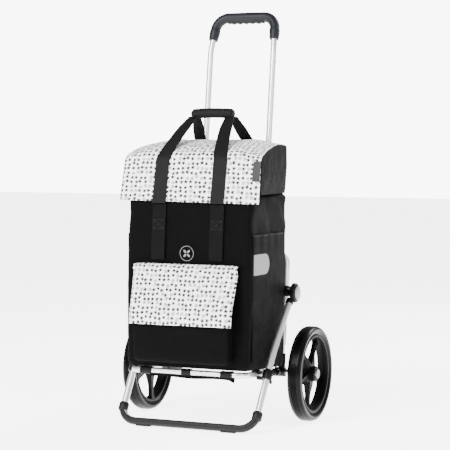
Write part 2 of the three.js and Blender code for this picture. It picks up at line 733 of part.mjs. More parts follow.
function saddle(name, side) {
  const crossing = onPlatform(side * PLATFORM_HALF_WIDTH, 127);
  const leg = onLeg(side, crossing.z);
  const way = legDirection(side);
  const clampRadius = STAND_TUBE_RADIUS + CLAMP_WALL;
  const saddleInner = PLATFORM_HALF_WIDTH - PLATFORM_TUBE_RADIUS - 4;
  const shelf = block(side * saddleInner, leg.x, -14, 14, -17, 4).translate(0, leg.y, leg.z);
  const body = carve(
    [
      rodAlong(leg, way, -15, 15, clampRadius, 16),
      shelf,
    ],
    [
      rod(onPlatform(crossing.x, 80), onPlatform(crossing.x, 180), PLATFORM_TUBE_RADIUS + GAP, 16),
      // the slot above the tube, so that the platform can lift out
      block(
        crossing.x - PLATFORM_TUBE_RADIUS - GAP,
        crossing.x + PLATFORM_TUBE_RADIUS + GAP,
        crossing.y - 30,
        crossing.y + 30,
        crossing.z,
        crossing.z + 40,
      ),
      rodAlong(leg, way, -60, 60, STAND_TUBE_RADIUS + GAP, 16),
    ],
  );
  add(ground, `saddle_clip_${name}`, body, blackPlastic);
}
for (const [name, side] of SIDES) saddle(name, side);

function knob(name, side) {
  const { y, z } = STAND_PIVOT;
  const recess = KNOB_BUTTON_RADIUS + 2 * GAP;
  const recessFloor = KNOB_OUTER_X - 6;
  const oval = new THREE.CylinderGeometry(1, 1, KNOB_OUTER_X - KNOB_INNER_X, 20)
    .rotateZ(Math.PI / 2)
    .scale(1, KNOB_HALF_DEPTH, KNOB_HALF_HEIGHT)
    .translate((side * (KNOB_OUTER_X + KNOB_INNER_X)) / 2, y, z);
  const top = V(side * STAND_TOP.x, STAND_TOP.y, STAND_TOP.z);
  const knee = V(side * STAND_KNEE.x, STAND_KNEE.y, STAND_KNEE.z);
  const legUp = top.clone().sub(knee).normalize();
  const socket = rodAlong(top, legUp, -14, 20, STAND_TUBE_RADIUS + GAP + 2.45, 16);
  const housing = carve(
    [oval, socket],
    [
      rodX(side * recessFloor, side * (KNOB_OUTER_X + 5), y, z, recess, 22),
      rodX(side * (KNOB_INNER_X - 5), side * (recessFloor - 3), y, z, KNOB_PIN_RADIUS + GAP, 16),
      rodAlong(top, legUp, -60, GAP, STAND_TUBE_RADIUS + GAP, 16),
    ],
  );
  add(ground, `knob_housing_${name}`, housing, blackPlastic);

  const face = recessFloor + KNOB_TRAVEL + 1;
  const button = rodX(side * face, side * (KNOB_OUTER_X + KNOB_TRAVEL + 0.5), y, z, KNOB_BUTTON_RADIUS, 28);
  add(ground, `knob_button_${name}`, button, silverPlastic);

  // the bracket clamps round the frame's leg and reaches forward to the pivot, outside the bag
  const plate = [KNOB_INNER_X - 7, KNOB_INNER_X - 1];
  const legCentre = V(side * FRAME_HALF_WIDTH, leaningY(FRAME_BACK, z), z);
  const lean = V(0, Math.sin(LEAN), Math.cos(LEAN));
  const bracket = carve(
    [
      rodAlong(legCentre, lean, -14, 14, FRAME_TUBE_RADIUS + CLAMP_WALL, 18),
      block(side * FRAME_HALF_WIDTH, side * plate[1], legCentre.y - 12, legCentre.y + 12, z - 11, z + 11),
      block(side * plate[0], side * plate[1], y, legCentre.y, z - 11, z + 11),
      rodX(side * plate[0], side * plate[1], y, z, 11, 18),
      // the pin that the stand turns on
      rodX(side * plate[0], side * (recessFloor - 4), y, z, KNOB_PIN_RADIUS),
    ],
    [rodAlong(legCentre, lean, -60, 60, FRAME_TUBE_RADIUS + GAP)],
  );
  add(ground, `knob_bracket_${name}`, bracket, blackPlastic);
}
for (const [name, side] of SIDES) knob(name, side);

// ---------------------------------------------------------------- bag

const BAG_SECTION = { half: 172, depth: 235, corner: 26 };
const bagBackY = (z) => leaningY(-BAG_BACK, z);

// The bag's outline at one height: front and back y, and the half widths at the front and the back.
// Between these stations the outline changes in straight lines.
const BAG_STATIONS = [
  { z: 156, front: -261, halfFront: 165, halfBack: 173 },
  { z: 168, front: -266, halfFront: 171, halfBack: 177 },
  { z: 330, front: -264, halfFront: 173, halfBack: 171 },
  { z: 460, front: -261, halfFront: 173, halfBack: 166 },
  { z: 560, front: -253, halfFront: 172, halfBack: 161 },
  { z: BAG_RIM_HEIGHT, front: -248, halfFront: 170, halfBack: 159 },
  { z: BAG_RIM_HEIGHT + 12, front: -232, halfFront: 151, halfBack: 148 },
  { z: NECK_HEIGHT, front: -214, halfFront: 149, halfBack: 146 },
];

function bagOutline(z) {
  const last = BAG_STATIONS.length - 1;
  const after = Math.min(last, Math.max(1, BAG_STATIONS.findIndex((s) => s.z >= z)));
  const [a, b] = [BAG_STATIONS[after - 1], BAG_STATIONS[after]];
  const share = (z - a.z) / (b.z - a.z);
  const mix = (key) => THREE.MathUtils.lerp(a[key], b[key], share);
  return { front: mix("front"), halfFront: mix("halfFront"), halfBack: mix("halfBack") };
}

// a section of the bag pulled up through the stations, set in from the outside by a wall
function bagBody(wall, from, to) {
  const { half, depth, corner } = BAG_SECTION;
  const shape = new THREE.Shape();
  const [w, d, r] = [half, depth / 2, corner];
  shape.moveTo(-w + r, -d).lineTo(w - r, -d);
  shape.absarc(w - r, -d + r, r, -Math.PI / 2, 0).lineTo(w, d - r);
  shape.absarc(w - r, d - r, r, 0, Math.PI / 2).lineTo(-w + r, d);
  shape.absarc(-w + r, d - r, r, Math.PI / 2, Math.PI).lineTo(-w, -d + r);
  shape.absarc(-w + r, -d + r, r, Math.PI, 1.5 * Math.PI);
  const heights = [from, ...BAG_STATIONS.map((s) => s.z).filter((z) => z > from && z < to), to];
  const geometry = new THREE.ExtrudeGeometry(shape, {
    depth: heights.length - 1,
    steps: heights.length - 1,
    bevelEnabled: false,
    curveSegments: 3,
  });
  return remap(geometry, (p) => {
    const z = heights[Math.round(p.z)];
    const outline = bagOutline(z);
    const back = (p.y + d) / (2 * d);
    const width = THREE.MathUtils.lerp(outline.halfFront, outline.halfBack, back) - wall;
    const y = THREE.MathUtils.lerp(outline.front + wall, bagBackY(z) - wall, back);
    // the bottom rises a little towards the front, with the platform
    const drop = z <= BAG_STATIONS[1].z ? 0.05 * (y - BAG_STATIONS[0].front) : 0;
    return V((p.x / w) * width, y, z - drop);
  });
}

// the stiff back wall goes on above the rim, and the lid hinges at its top
function backYoke() {
  const z0 = BAG_RIM_HEIGHT - 30;
  const profile = [
    [bagBackY(z0), z0],
    [bagBackY(YOKE_HEIGHT), YOKE_HEIGHT],
    [bagBackY(YOKE_HEIGHT) - BAG_WALL, YOKE_HEIGHT],
    [bagBackY(z0) - BAG_WALL, z0],
  ];
  return alongX(profile, -138, 138);
}

function bagShell() {
  const outside = bagBody(0, BAG_STATIONS[0].z, NECK_HEIGHT);
  const inside = bagBody(BAG_WALL, BAG_STATIONS[0].z + BAG_WALL, NECK_HEIGHT + 20);
  return geometryOf(solidOf(outside).subtract(solidOf(inside)).add(solidOf(backYoke())));
}
add(ground, "bag_shell", bagShell(), blackFabric);

// a stiff board in the bottom of the bag
const BOARD = { half: 137, front: -248, back: -52, lift: 1.5, thickness: 3 };
function baseBoard() {
  const floorZ = (y) => BAG_STATIONS[0].z + BAG_WALL + BOARD.lift - 0.05 * (y - BAG_STATIONS[0].front);
  const profile = [
    [BOARD.front, floorZ(BOARD.front)],
    [BOARD.back, floorZ(BOARD.back)],
    [BOARD.back, floorZ(BOARD.back) + BOARD.thickness],
    [BOARD.front, floorZ(BOARD.front) + BOARD.thickness],
  ];
  return alongX(profile, -BOARD.half, BOARD.half);
}
add(ground, "base_board", baseBoard(), blackPlastic);

// ---------------------------------------------------------------- lid

// the outside of the front flap and the top, from the flap's hem to the hinge
const LID_CURVE = [
  [-256, 583],
  [-234, 688],
  [-221, 706],
  [-190, 722],
  [-140, 735],
  [-90, 741],
  [-35, 738],
  [10, 727],
];
const LID_HINGE = { y: bagBackY(YOKE_HEIGHT) - BAG_WALL / 2, z: YOKE_HEIGHT + 2 };
const GUSSET_HEM = 600;

const lidHalfWidth = (y) =>
  THREE.MathUtils.mapLinear(y, LID_CURVE[0][0], LID_HINGE.y, LID_HALF_WIDTH, LID_BACK_HALF_WIDTH);

function lid() {
  const hingeY = bagBackY(YOKE_HEIGHT) - BAG_WALL - 1;
  const back = (z) => hingeY - (YOKE_HEIGHT - z) * Math.tan(LEAN);
  const outer = [
    ...LID_CURVE,
    [hingeY, YOKE_HEIGHT],
    [back(GUSSET_HEM), GUSSET_HEM],
    [-248, GUSSET_HEM],
    [-256 + LID_WALL, 583],
  ];
  const inner = [
    [-256 + LID_WALL, 575],
    ...LID_CURVE.slice(1).map(([y, z], i) => [y + LID_WALL * (i < 2 ? 1 : 0.4), z - LID_WALL]),
    [hingeY + 10, YOKE_HEIGHT - LID_WALL],
    [hingeY + 10, 560],
    [-240, 560],
  ];
  const solid = (profile, width, wall) =>
    solidOf(
      remap(alongX([...profile].reverse(), -width, width), (p) =>
        V((p.x / width) * (lidHalfWidth(p.y) - wall), p.y, p.z),
      ),
    );
  return geometryOf(solid(outer, LID_HALF_WIDTH, 0).subtract(solid(inner, LID_HALF_WIDTH, LID_WALL)));
}
add(ground, "lid", lid(), printedFabric);

// a woven label sewn on the flap's right end
const LABEL = { foot: 634, head: 684, width: 20, inset: 4 };
function lidLabel() {
  const [hem, shoulder] = LID_CURVE;
  const faceY = (z) => THREE.MathUtils.mapLinear(z, hem[1], shoulder[1], hem[0], shoulder[0]) - GAP;
  const profile = [
    [faceY(LABEL.foot) - TRIM, LABEL.foot],
    [faceY(LABEL.foot), LABEL.foot],
    [faceY(LABEL.head), LABEL.head],
    [faceY(LABEL.head) - TRIM, LABEL.head],
  ];
  const right = lidHalfWidth(shoulder[0]) - LABEL.inset;
  return alongX(profile, right - LABEL.width, right);
}
add(ground, "lid_label", lidLabel(), reflective);

// ---------------------------------------------------------------- carry loops

// A strap is a strip of webbing. Its inner face follows a route of [y, z] points, with the outside
// on the left of the route, and shift gives the x of its middle at each height.
function strap(route, side, shift) {
  const outside = route.map(([y, z], i) => {
    const [y0, z0] = route[Math.max(0, i - 1)];
    const [y1, z1] = route[Math.min(route.length - 1, i + 1)];
    const scale = STRAP_THICKNESS / Math.hypot(y1 - y0, z1 - z0);
    return [y - (z1 - z0) * scale, z + (y1 - y0) * scale];
  });
  const strip = alongX([...outside, ...[...route].reverse()], -STRAP_WIDTH / 2, STRAP_WIDTH / 2);
  return remap(strip, (p) => V(p.x + side * shift(p.z), p.y, p.z));
}

// the straps run straight up to the lid's edge, and from there in towards the wrap
const strapShift = (z) => {
  const edge = LID_CURVE[1][1];
  return z < edge ? STRAP_X : THREE.MathUtils.mapLinear(z, edge, WRAP.z, STRAP_X, STRAP_TOP_X);
};
// where a strap that comes up along a direction meets the wrap
const atWrap = (y, z) => {
  const scale = (WRAP.radius + 1.5) / Math.hypot(WRAP.y - y, WRAP.z - z);
  return [WRAP.y - (WRAP.y - y) * scale, WRAP.z - (WRAP.z - z) * scale];
};
const FRONT_STRAP = [[-256.8, 581], [-234.8, 688], [-222, 706.8], atWrap(-222, 706.8)];
const REAR_STRAP = [atWrap(-36, 741), [-36, 741], [10, 729.5], [31, 727]];
const FRONT_WEBBING = [[-262.4, 432], [-261.8, 460], [-253.8, 560], [-251.4, 576]];
for (const [name, side] of SIDES) {
  add(ground, `front_webbing_${name}`, strap(FRONT_WEBBING, side, () => STRAP_X), webbing);
  add(ground, `front_strap_${name}`, strap(FRONT_STRAP, side, strapShift), webbing);
  add(ground, `rear_strap_${name}`, strap(REAR_STRAP, side, strapShift), webbing);
}
const wrap = rodX(-WRAP.length / 2, WRAP.length / 2, WRAP.y, WRAP.z, WRAP.radius, 16);
add(ground, "carry_wrap", wrap, webbing);

// ---------------------------------------------------------------- front pocket

// the pocket's front and bottom, from the mouth down to the back
const POCKET_FRONT = [
  [-280, 395],
  [-312, 290],
  [-314, 262],
  [-303, 178],
  [-298, 172],
];
const POCKET_BACK = -266.6;
function pocketBody() {
  const mouth = POCKET_FRONT[0][1];
  const outside = [[POCKET_BACK, mouth], ...POCKET_FRONT, [POCKET_BACK, 172]];
  const inside = [
    [POCKET_BACK - SKIN, mouth + 9],
    [-279, mouth + 9],
    ...POCKET_FRONT.map(([y, z]) => [y + SKIN, Math.max(z, 172 + SKIN)]),
    [POCKET_BACK - SKIN, 172 + SKIN],
  ];
  return carve(
    [alongX(outside, -POCKET_HALF_WIDTH, POCKET_HALF_WIDTH)],
    [alongX(inside, SKIN - POCKET_HALF_WIDTH, POCKET_HALF_WIDTH - SKIN)],
  );
}
add(ground, "pocket_body", pocketBody(), blackFabric);

// the printed flap hangs over the mouth from its seam, and widens a little towards the seam
const POCKET_SEAM = { y: -265.8, z: 421 };
function pocketFlap() {
  const outer = [[POCKET_SEAM.y, POCKET_SEAM.z], [-273, 419], [-284, 408], [-318.5, 300], [FLAP_FRONT, 271]];
  const inner = [[FLAP_FRONT + SKIN, 271], [-316, 300], [-281.8, 406.6], [-272, 416.3], [POCKET_SEAM.y, 418]];
  return remap(alongX([...outer, ...inner], -FLAP_HALF_WIDTH, FLAP_HALF_WIDTH), (p) =>
    V(p.x * THREE.MathUtils.mapLinear(p.z, 271, POCKET_SEAM.z, 1, 1.03), p.y, p.z),
  );
}
add(ground, "pocket_flap", pocketFlap(), printedFabric);

// ---------------------------------------------------------------- badge, side pockets and tabs

const BADGE = { radius: 20, height: 449.7, y: -262 };
const badge = rod(V(0, BADGE.y - TRIM, BADGE.height), V(0, BADGE.y, BADGE.height), BADGE.radius, 28);
add(ground, "badge", badge, silverPlastic);

// the x of the bag's right side
function bagSideX(y, z) {
  const { front, halfFront, halfBack } = bagOutline(z);
  return THREE.MathUtils.mapLinear(y, front, bagBackY(z), halfFront, halfBack);
}
// Lays a geometry on the bag's side: its x runs from 0 to 1, between two distances from the side.
// Its x is turned round on the left, so that the faces still point out.
function onBagSide(geometry, side, near, far) {
  return remap(geometry, (p) => {
    const share = side > 0 ? p.x : 1 - p.x;
    return V(side * (bagSideX(p.y, p.z) + THREE.MathUtils.lerp(near(p.z), far(p.z), share)), p.y, p.z);
  });
}

// a shallow tray that stands off more at its mouth, with the bag's own side as its back
const SIDE_POCKET = { front: -238, back: -32, foot: 178, head: 494, depth: 4.2, mouth: 11, wall: 2 };
const pocketDepth = (z) => {
  const { foot, head, depth, mouth } = SIDE_POCKET;
  return THREE.MathUtils.mapLinear(z, foot, head, depth, mouth);
};
function sidePocket(side) {
  const { front, back, foot, head, wall } = SIDE_POCKET;
  const patch = (inset, top, near, far) => {
    const geometry = new THREE.BoxGeometry(1, 1, 1, 1, 2, 4).translate(0.5, 0.5, 0.5);
    remap(geometry, (p) => {
      const z = THREE.MathUtils.lerp(foot + inset, top, p.z);
      return V(p.x, THREE.MathUtils.lerp(front + inset, bagBackY(z) + back - inset, p.y), z);
    });
    return onBagSide(geometry, side, near, far);
  };
  const outside = patch(0, head, () => 2 * GAP, pocketDepth);
  const inside = patch(wall, head + 10, () => -2, (z) => pocketDepth(z) - wall);
  return carve([outside], [inside]);
}

// a tab sewn on the side pocket, straight at the front and half round at the rear
const TAB = { front: -236, length: 104, foot: 399, head: 455 };
function sideTab(side) {
  const radius = (TAB.head - TAB.foot) / 2;
  const round = Array.from({ length: 7 }, (_, i) => {
    const a = -Math.PI / 2 + (Math.PI * i) / 6;
    return [TAB.front + TAB.length - radius + radius * Math.cos(a), TAB.foot + radius + radius * Math.sin(a)];
  });
  const outline = [[TAB.front, TAB.foot], ...round, [TAB.front, TAB.head]];
  const near = (z) => pocketDepth(z) + 2 * GAP;
  return onBagSide(alongX(outline, 0, 1), side, near, (z) => near(z) + TRIM);
}
for (const [name, side] of SIDES) {
  add(ground, `side_pocket_${name}`, sidePocket(side), blackFabric);
  add(ground, `side_tab_${name}`, sideTab(side), reflective);
}

export default trolley;
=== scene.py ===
"""A two-wheeled shopping trolley: its visible pieces, made around its plain solids."""

import json
import math

import bpy
from mathutils import Matrix, Vector, noise

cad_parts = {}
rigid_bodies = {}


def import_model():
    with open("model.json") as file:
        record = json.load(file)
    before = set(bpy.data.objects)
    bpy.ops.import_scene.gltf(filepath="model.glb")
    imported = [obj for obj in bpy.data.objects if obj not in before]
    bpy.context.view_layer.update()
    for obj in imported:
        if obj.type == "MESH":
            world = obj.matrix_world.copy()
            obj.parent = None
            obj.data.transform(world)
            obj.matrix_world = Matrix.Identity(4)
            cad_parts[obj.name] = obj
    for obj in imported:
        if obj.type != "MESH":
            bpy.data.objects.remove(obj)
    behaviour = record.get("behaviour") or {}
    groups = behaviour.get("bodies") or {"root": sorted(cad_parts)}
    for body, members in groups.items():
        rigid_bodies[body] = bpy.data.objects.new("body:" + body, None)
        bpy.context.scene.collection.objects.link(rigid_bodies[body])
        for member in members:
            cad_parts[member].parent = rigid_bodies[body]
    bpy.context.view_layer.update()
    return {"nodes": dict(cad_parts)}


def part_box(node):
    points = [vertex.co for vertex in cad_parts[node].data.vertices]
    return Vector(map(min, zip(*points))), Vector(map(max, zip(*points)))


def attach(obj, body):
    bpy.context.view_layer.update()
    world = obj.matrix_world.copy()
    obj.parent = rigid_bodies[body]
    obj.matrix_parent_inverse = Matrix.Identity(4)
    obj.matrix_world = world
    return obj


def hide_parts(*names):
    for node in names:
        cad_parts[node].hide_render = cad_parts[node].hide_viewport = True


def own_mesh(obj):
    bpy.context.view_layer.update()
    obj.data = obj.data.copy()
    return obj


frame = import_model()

MM = 0.001
SIDES = {"left": -1, "right": 1}

# ---------------------------------------------------------------- the ground frame

# Most places are in millimetres from the point on the ground under the axle, with the front at -y.
AXLE_LOW, AXLE_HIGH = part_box("axle")
AXLE_Y = (AXLE_LOW.y + AXLE_HIGH.y) / 2
LEAN = math.radians(7)
HANDLE_FOOT_Y = -34


def at(x, y, z):
    """A point given in millimetres in the ground frame, in metres in the part's own frame."""
    return Vector((x * MM, y * MM + AXLE_Y, z * MM))


def upright(x, y, z):
    """A point of the leaning frame, whose z runs up along the handle's tubes."""
    return at(x, HANDLE_FOOT_Y + y * math.cos(LEAN) + z * math.sin(LEAN),
              z * math.cos(LEAN) - y * math.sin(LEAN))


def lerp(a, b, share):
    return a + (b - a) * share


def between(value, low, high):
    """How far value is on its way from low to high, kept to 0 and 1 and eased at both ends."""
    share = min(1.0, max(0.0, (value - low) / (high - low)))
    return share * share * (3 - 2 * share)


def along(stops, value):
    """Straight-line interpolation in a list of (place, result) stops."""
    for (a, x), (b, y) in zip(stops, stops[1:]):
        if value <= b:
            return lerp(x, y, max(0.0, (value - a) / (b - a)))
    return stops[-1][1]


# ---------------------------------------------------------------- finishes


class Wire:
    """A shader socket whose arithmetic adds Math nodes."""

    def __init__(self, finish, socket):
        self.finish, self.socket = finish, socket

    def math(self, operation, *values):
        return self.finish.node("ShaderNodeMath", {"operation": operation}, dict(enumerate((self, *values))))

    def __add__(self, other):
        return self.math("ADD", other)

    def __sub__(self, other):
        return self.math("SUBTRACT", other)

    def __rsub__(self, other):
        return self.finish.node("ShaderNodeMath", {"operation": "SUBTRACT"}, {0: other, 1: self})

    def __mul__(self, other):
        return self.math("MULTIPLY", other)

    def __lt__(self, other):
        return self.math("LESS_THAN", other)

    def __gt__(self, other):
        return self.math("GREATER_THAN", other)

    __radd__, __rmul__ = __add__, __mul__


class Finish:
    """A material. Constants go on the shader's own sockets, and what varies is made from nodes."""

    def __init__(self, name, **constants):
        self.material = bpy.data.materials.new(name)
        self.material.use_nodes = True
        self.tree = self.material.node_tree
        self.shader = self.tree.nodes["Principled BSDF"]
        for key, value in constants.items():
            self.feed(key.replace("_", " ").title(), value)

    def feed(self, name, value):
        socket = self.shader.inputs[name.replace("Ior", "IOR")]
        if isinstance(value, Wire):
            self.tree.links.new(value.socket, socket)
        else:
            socket.default_value = (*value, 1) if isinstance(value, tuple) and len(value) == 3 else value

    def node(self, kind, settings=None, sockets=None, output=0):
        node = self.tree.nodes.new(kind)
        for key, value in (settings or {}).items():
            if key == "stops":
                ramp = node.color_ramp
                while len(ramp.elements) < len(value):
                    ramp.elements.new(0.5)
                for element, (place, colour) in zip(ramp.elements, value):
                    element.position, element.color = place, (*colour, 1)
            else:
                setattr(node, key, value)
        for key, value in (sockets or {}).items():
            if isinstance(value, Wire):
                self.tree.links.new(value.socket, node.inputs[key])
            else:
                node.inputs[key].default_value = value
        return Wire(self, node.outputs[output])

    def coordinates(self, kind="Object"):
        return self.node("ShaderNodeTexCoord", output=["Generated", "Normal", "UV", "Object"].index(kind))

    def scaled(self, vector, scale):
        return self.node("ShaderNodeVectorMath", {"operation": "MULTIPLY"}, {0: vector, 1: scale})

    def noise(self, vector, scale, detail=2.0, roughness=0.5):
        sockets = {"Vector": vector, "Scale": scale, "Detail": detail, "Roughness": roughness}
        return self.node("ShaderNodeTexNoise", None, sockets)

    def axis(self, vector, index):
        return self.node("ShaderNodeSeparateXYZ", None, {0: vector}, index)

    def mix(self, share, a, b):
        settings = {"data_type": "RGBA"}
        return self.node("ShaderNodeMix", settings, {0: share, 6: (*a, 1) if isinstance(a, tuple) else a,
                                                     7: (*b, 1) if isinstance(b, tuple) else b}, 2)

    def bump(self, height, distance, strength=1.0):
        sockets = {"Height": height, "Distance": distance, "Strength": strength}
        self.feed("Normal", self.node("ShaderNodeBump", None, sockets))


def tube_finish():
    """Satin aluminium, with faint lines along the drawn tube."""
    made = Finish("satin_aluminium", metallic=0.92, specular_ior_level=0.5)
    place = made.coordinates()
    drawn = made.noise(made.scaled(place, (900, 900, 12)), 1.0, 3.0)
    cloud = made.noise(place, 14.0)
    made.feed("Base Color", made.mix(cloud, (0.66, 0.665, 0.67), (0.76, 0.76, 0.755)))
    made.feed("Roughness", 0.27 + drawn * 0.14 + cloud * 0.05)
    made.bump(drawn, 0.00004, 0.3)
    return made.material


def zinc_finish():
    """Zinc-plated steel with a slightly mottled plate."""
    made = Finish("zinc_plate", metallic=1.0)
    place = made.coordinates()
    mottle = made.noise(place, 260.0, 4.0)
    made.feed("Base Color", made.mix(mottle, (0.50, 0.50, 0.49), (0.68, 0.68, 0.66)))
    made.feed("Roughness", 0.26 + mottle * 0.2)
    made.bump(mottle, 0.00005, 0.3)
    return made.material


def moulded(name, dark, light, roughness, grain=1400.0, depth=0.00005, shine=0.14):
    """Moulded plastic or rubber: a fine grain, and a slow change of tone where hands and grit polish it."""
    made = Finish(name, specular_ior_level=shine)
    place = made.coordinates()
    fine = made.noise(place, grain, 2.0)
    rubbed = made.noise(place, 22.0, 3.0)
    made.feed("Base Color", made.mix(rubbed, dark, light))
    made.feed("Roughness", roughness + fine * 0.10 + rubbed * 0.10 - 0.1)
    made.bump(fine, depth, 0.5)
    return made.material


def weave_height(made, sheet, pitch):
    """The height of a plain weave: threads over and under in both directions, from metres on the cloth."""
    turn = 2 * math.pi / pitch
    across = (made.axis(sheet, 0) * turn).math("SINE")
    length = (made.axis(sheet, 1) * turn).math("SINE")
    return (across * length).math("ABSOLUTE")


def coated_cloth():
    """Black coated polyester: a fine plain weave, a soft sheen, slight creasing, and painted shade in the
    crease hollows.
    """
    made = Finish("coated_polyester", specular_ior_level=0.03)
    sheet = made.coordinates("UV")
    weave = weave_height(made, sheet, 0.0009)
    crease_and_shade = made.noise(made.coordinates(), 26.0, 5.0, 0.55)
    # Painted shade: the colour follows the crease relief and is darker where the relief is low, in the
    # hollows of the creases.
    made.feed("Base Color", made.mix(crease_and_shade, (0.0004, 0.0004, 0.0005), (0.0020, 0.0019, 0.0019)))
    made.feed("Roughness", 0.62 + crease_and_shade * 0.2 - weave * 0.08)
    made.bump(weave * 0.12 + crease_and_shade, 0.0016, 0.35)
    return made.material


def thin_cloth():
    """The thinner, slightly shinier cloth of the bag's neck, with painted shade in the hollows of its
    creases.
    """
    made = Finish("neck_cloth", specular_ior_level=0.15)
    weave = weave_height(made, made.coordinates("UV"), 0.0007)
    crease_and_shade = made.noise(made.coordinates(), 60.0, 4.0)
    # Painted shade: the colour follows the crease relief and is darker where the relief is low, in the
    # hollows of the creases.
    made.feed("Base Color", made.mix(crease_and_shade, (0.003, 0.003, 0.0034), (0.006, 0.006, 0.007)))
    made.feed("Roughness", 0.42 + crease_and_shade * 0.2)
    made.bump(weave * 0.1 + crease_and_shade, 0.0012, 0.4)
    return made.material


def printed_cloth():
    """White coated cloth printed with small dark flowers, some solid and some only outlined."""
    made = Finish("flower_print", sheen_weight=0.05, specular_ior_level=0.3)
    sheet = made.coordinates("UV")
    pitch = 0.0122
    settings = {"voronoi_dimensions": "2D", "feature": "F1"}
    sockets = {"Vector": sheet, "Scale": 1 / pitch, "Randomness": 0.38}
    centre = made.node("ShaderNodeTexVoronoi", settings, sockets, 2)
    dice = made.node("ShaderNodeTexVoronoi", settings, sockets, 1)
    cells = (1 / pitch,) * 3
    ends = {0: made.scaled(sheet, cells), 1: made.scaled(centre, cells)}
    offset = made.node("ShaderNodeVectorMath", {"operation": "SUBTRACT"}, ends)
    x, y = made.axis(offset, 0), made.axis(offset, 1)
    far = (x * x + y * y).math("SQRT")
    first, second = made.axis(dice, 0), made.axis(dice, 1)
    turned = y.math("ARCTAN2", x) + first * 6.28
    petals = (turned * 5.0).math("COSINE")
    size = 0.40 + second * 0.07
    edge = size * (0.80 + petals * 0.20)
    body = far < edge
    hollow = (far < edge - 0.16) * (far > size * 0.26)
    outlined = first > 0.76
    ink = body - hollow * outlined
    tone = made.mix(second, (0.004, 0.004, 0.005), (0.022, 0.021, 0.025))
    ground = made.mix(made.noise(made.coordinates(), 9.0), (0.93, 0.905, 0.955), (0.96, 0.94, 0.98))
    made.feed("Base Color", made.mix(ink.math("MAXIMUM", 0.0), ground, tone))
    weave = weave_height(made, sheet, 0.0008)
    made.feed("Roughness", 0.52 + weave * 0.1 + ink * 0.06)
    made.bump(weave, 0.00015, 0.5)
    return made.material


def ribbed_webbing(name, dark, light, shine):
    """Webbing with ribs along its length and a satin shine."""
    made = Finish(name, specular_ior_level=shine)
    strip = made.coordinates("UV")
    rib = (made.axis(strip, 0) * (2 * math.pi / 0.0021)).math("SINE")
    pick = (made.axis(strip, 1) * (2 * math.pi / 0.0013)).math("SINE")
    worn = made.noise(made.coordinates(), 40.0, 3.0)
    made.feed("Base Color", made.mix(worn, dark, light))
    made.feed("Roughness", 0.46 + worn * 0.2 + rib * 0.04)
    made.bump(rib + pick * 0.3, 0.0002, 0.6)
    return made.material


def tape(name, dark, light):
    """Plain coated tape, smooth with a hint of weave."""
    made = Finish(name, specular_ior_level=0.2)
    weave = weave_height(made, made.coordinates("UV"), 0.0006)
    soft = made.noise(made.coordinates(), 70.0)
    made.feed("Base Color", made.mix(soft, dark, light))
    made.feed("Roughness", 0.42 + soft * 0.15)
    made.bump(weave, 0.00008, 0.5)
    return made.material


FINISHES = {
    "aluminium_tube": tube_finish(),
    "zinc_steel": zinc_finish(),
    "black_plastic": moulded("black_moulding", (0.0012, 0.0012, 0.0013), (0.003, 0.003, 0.003), 0.40),
    "rim_plastic": moulded("rim_moulding", (0.0010, 0.0010, 0.0011), (0.0022, 0.0022, 0.0023), 0.42, 900.0,
                           shine=0.05),
    "grip_plastic": moulded("grip_moulding", (0.0050, 0.0056, 0.0075), (0.009, 0.010, 0.0125), 0.46, 1100.0,
                            0.00008),
    "soft_rubber": moulded("soft_rubber", (0.004, 0.004, 0.0038), (0.007, 0.007, 0.0066), 0.50, 1000.0,
                           0.00008),
    "silver_plastic": moulded("silver_moulding", (0.17, 0.175, 0.18), (0.24, 0.245, 0.25), 0.34, shine=0.5),
    "tyre_rubber": moulded("tyre_rubber", (0.0010, 0.0010, 0.0011), (0.0025, 0.0025, 0.0025), 0.27, 800.0,
                           0.00006, 0.07),
    "black_fabric": coated_cloth(),
    "neck_fabric": thin_cloth(),
    "printed_fabric": printed_cloth(),
    "webbing": ribbed_webbing("ribbed_webbing", (0.0024, 0.0024, 0.0023), (0.0052, 0.0052, 0.0048), 0.09),
    "black_webbing": ribbed_webbing("black_webbing", (0.0008, 0.0008, 0.0008), (0.002, 0.002, 0.002), 0.05),
    "pale_tape": tape("pale_tape", (0.12, 0.122, 0.125), (0.17, 0.172, 0.175)),
    "label_tape": tape("label_tape", (0.010, 0.010, 0.011), (0.018, 0.018, 0.019)),
    "thread": tape("sewing_thread", (0.006, 0.006, 0.007), (0.013, 0.013, 0.014)),
}

# ---------------------------------------------------------------- workshop


def deselect():
    if bpy.context.object and bpy.context.object.mode != "OBJECT":
        bpy.ops.object.mode_set(mode="OBJECT")
    bpy.ops.object.select_all(action="DESELECT")


def activate(piece):
    deselect()
    piece.select_set(True)
    bpy.context.view_layer.objects.active = piece
    return piece


def named(name):
    piece = bpy.context.object
    piece.name = piece.data.name = name
    return piece


def edit(piece, *steps):
    """Runs edit-mode steps on the whole of a piece."""
    activate(piece)
    bpy.ops.object.mode_set(mode="EDIT")
    bpy.ops.mesh.select_all(action="SELECT")
    for step in steps:
        step()
    bpy.ops.object.mode_set(mode="OBJECT")
    return piece


def weld():
    bpy.ops.mesh.remove_doubles(threshold=0.00002)


def outwards():
    bpy.ops.mesh.normals_make_consistent(inside=False)


def close_ends():
    bpy.ops.mesh.select_all(action="DESELECT")
    bpy.ops.mesh.select_non_manifold(extend=False)
    bpy.ops.mesh.fill_holes(sides=0)
    bpy.ops.mesh.select_all(action="SELECT")


def modify(piece, kind, **settings):
    activate(piece)
    bpy.ops.object.modifier_add(type=kind)
    modifier = piece.modifiers[-1]
    for key, value in settings.items():
        setattr(modifier, key, value)
    bpy.ops.object.modifier_apply(modifier=modifier.name)
    return piece


def smooth(piece, degrees=40):
    activate(piece)
    bpy.ops.object.shade_smooth_by_angle(angle=math.radians(degrees))
    return piece


def join(name, pieces):
    activate(pieces[0])
    for piece in pieces:
        piece.select_set(True)
    bpy.ops.object.join()
    return named(name)


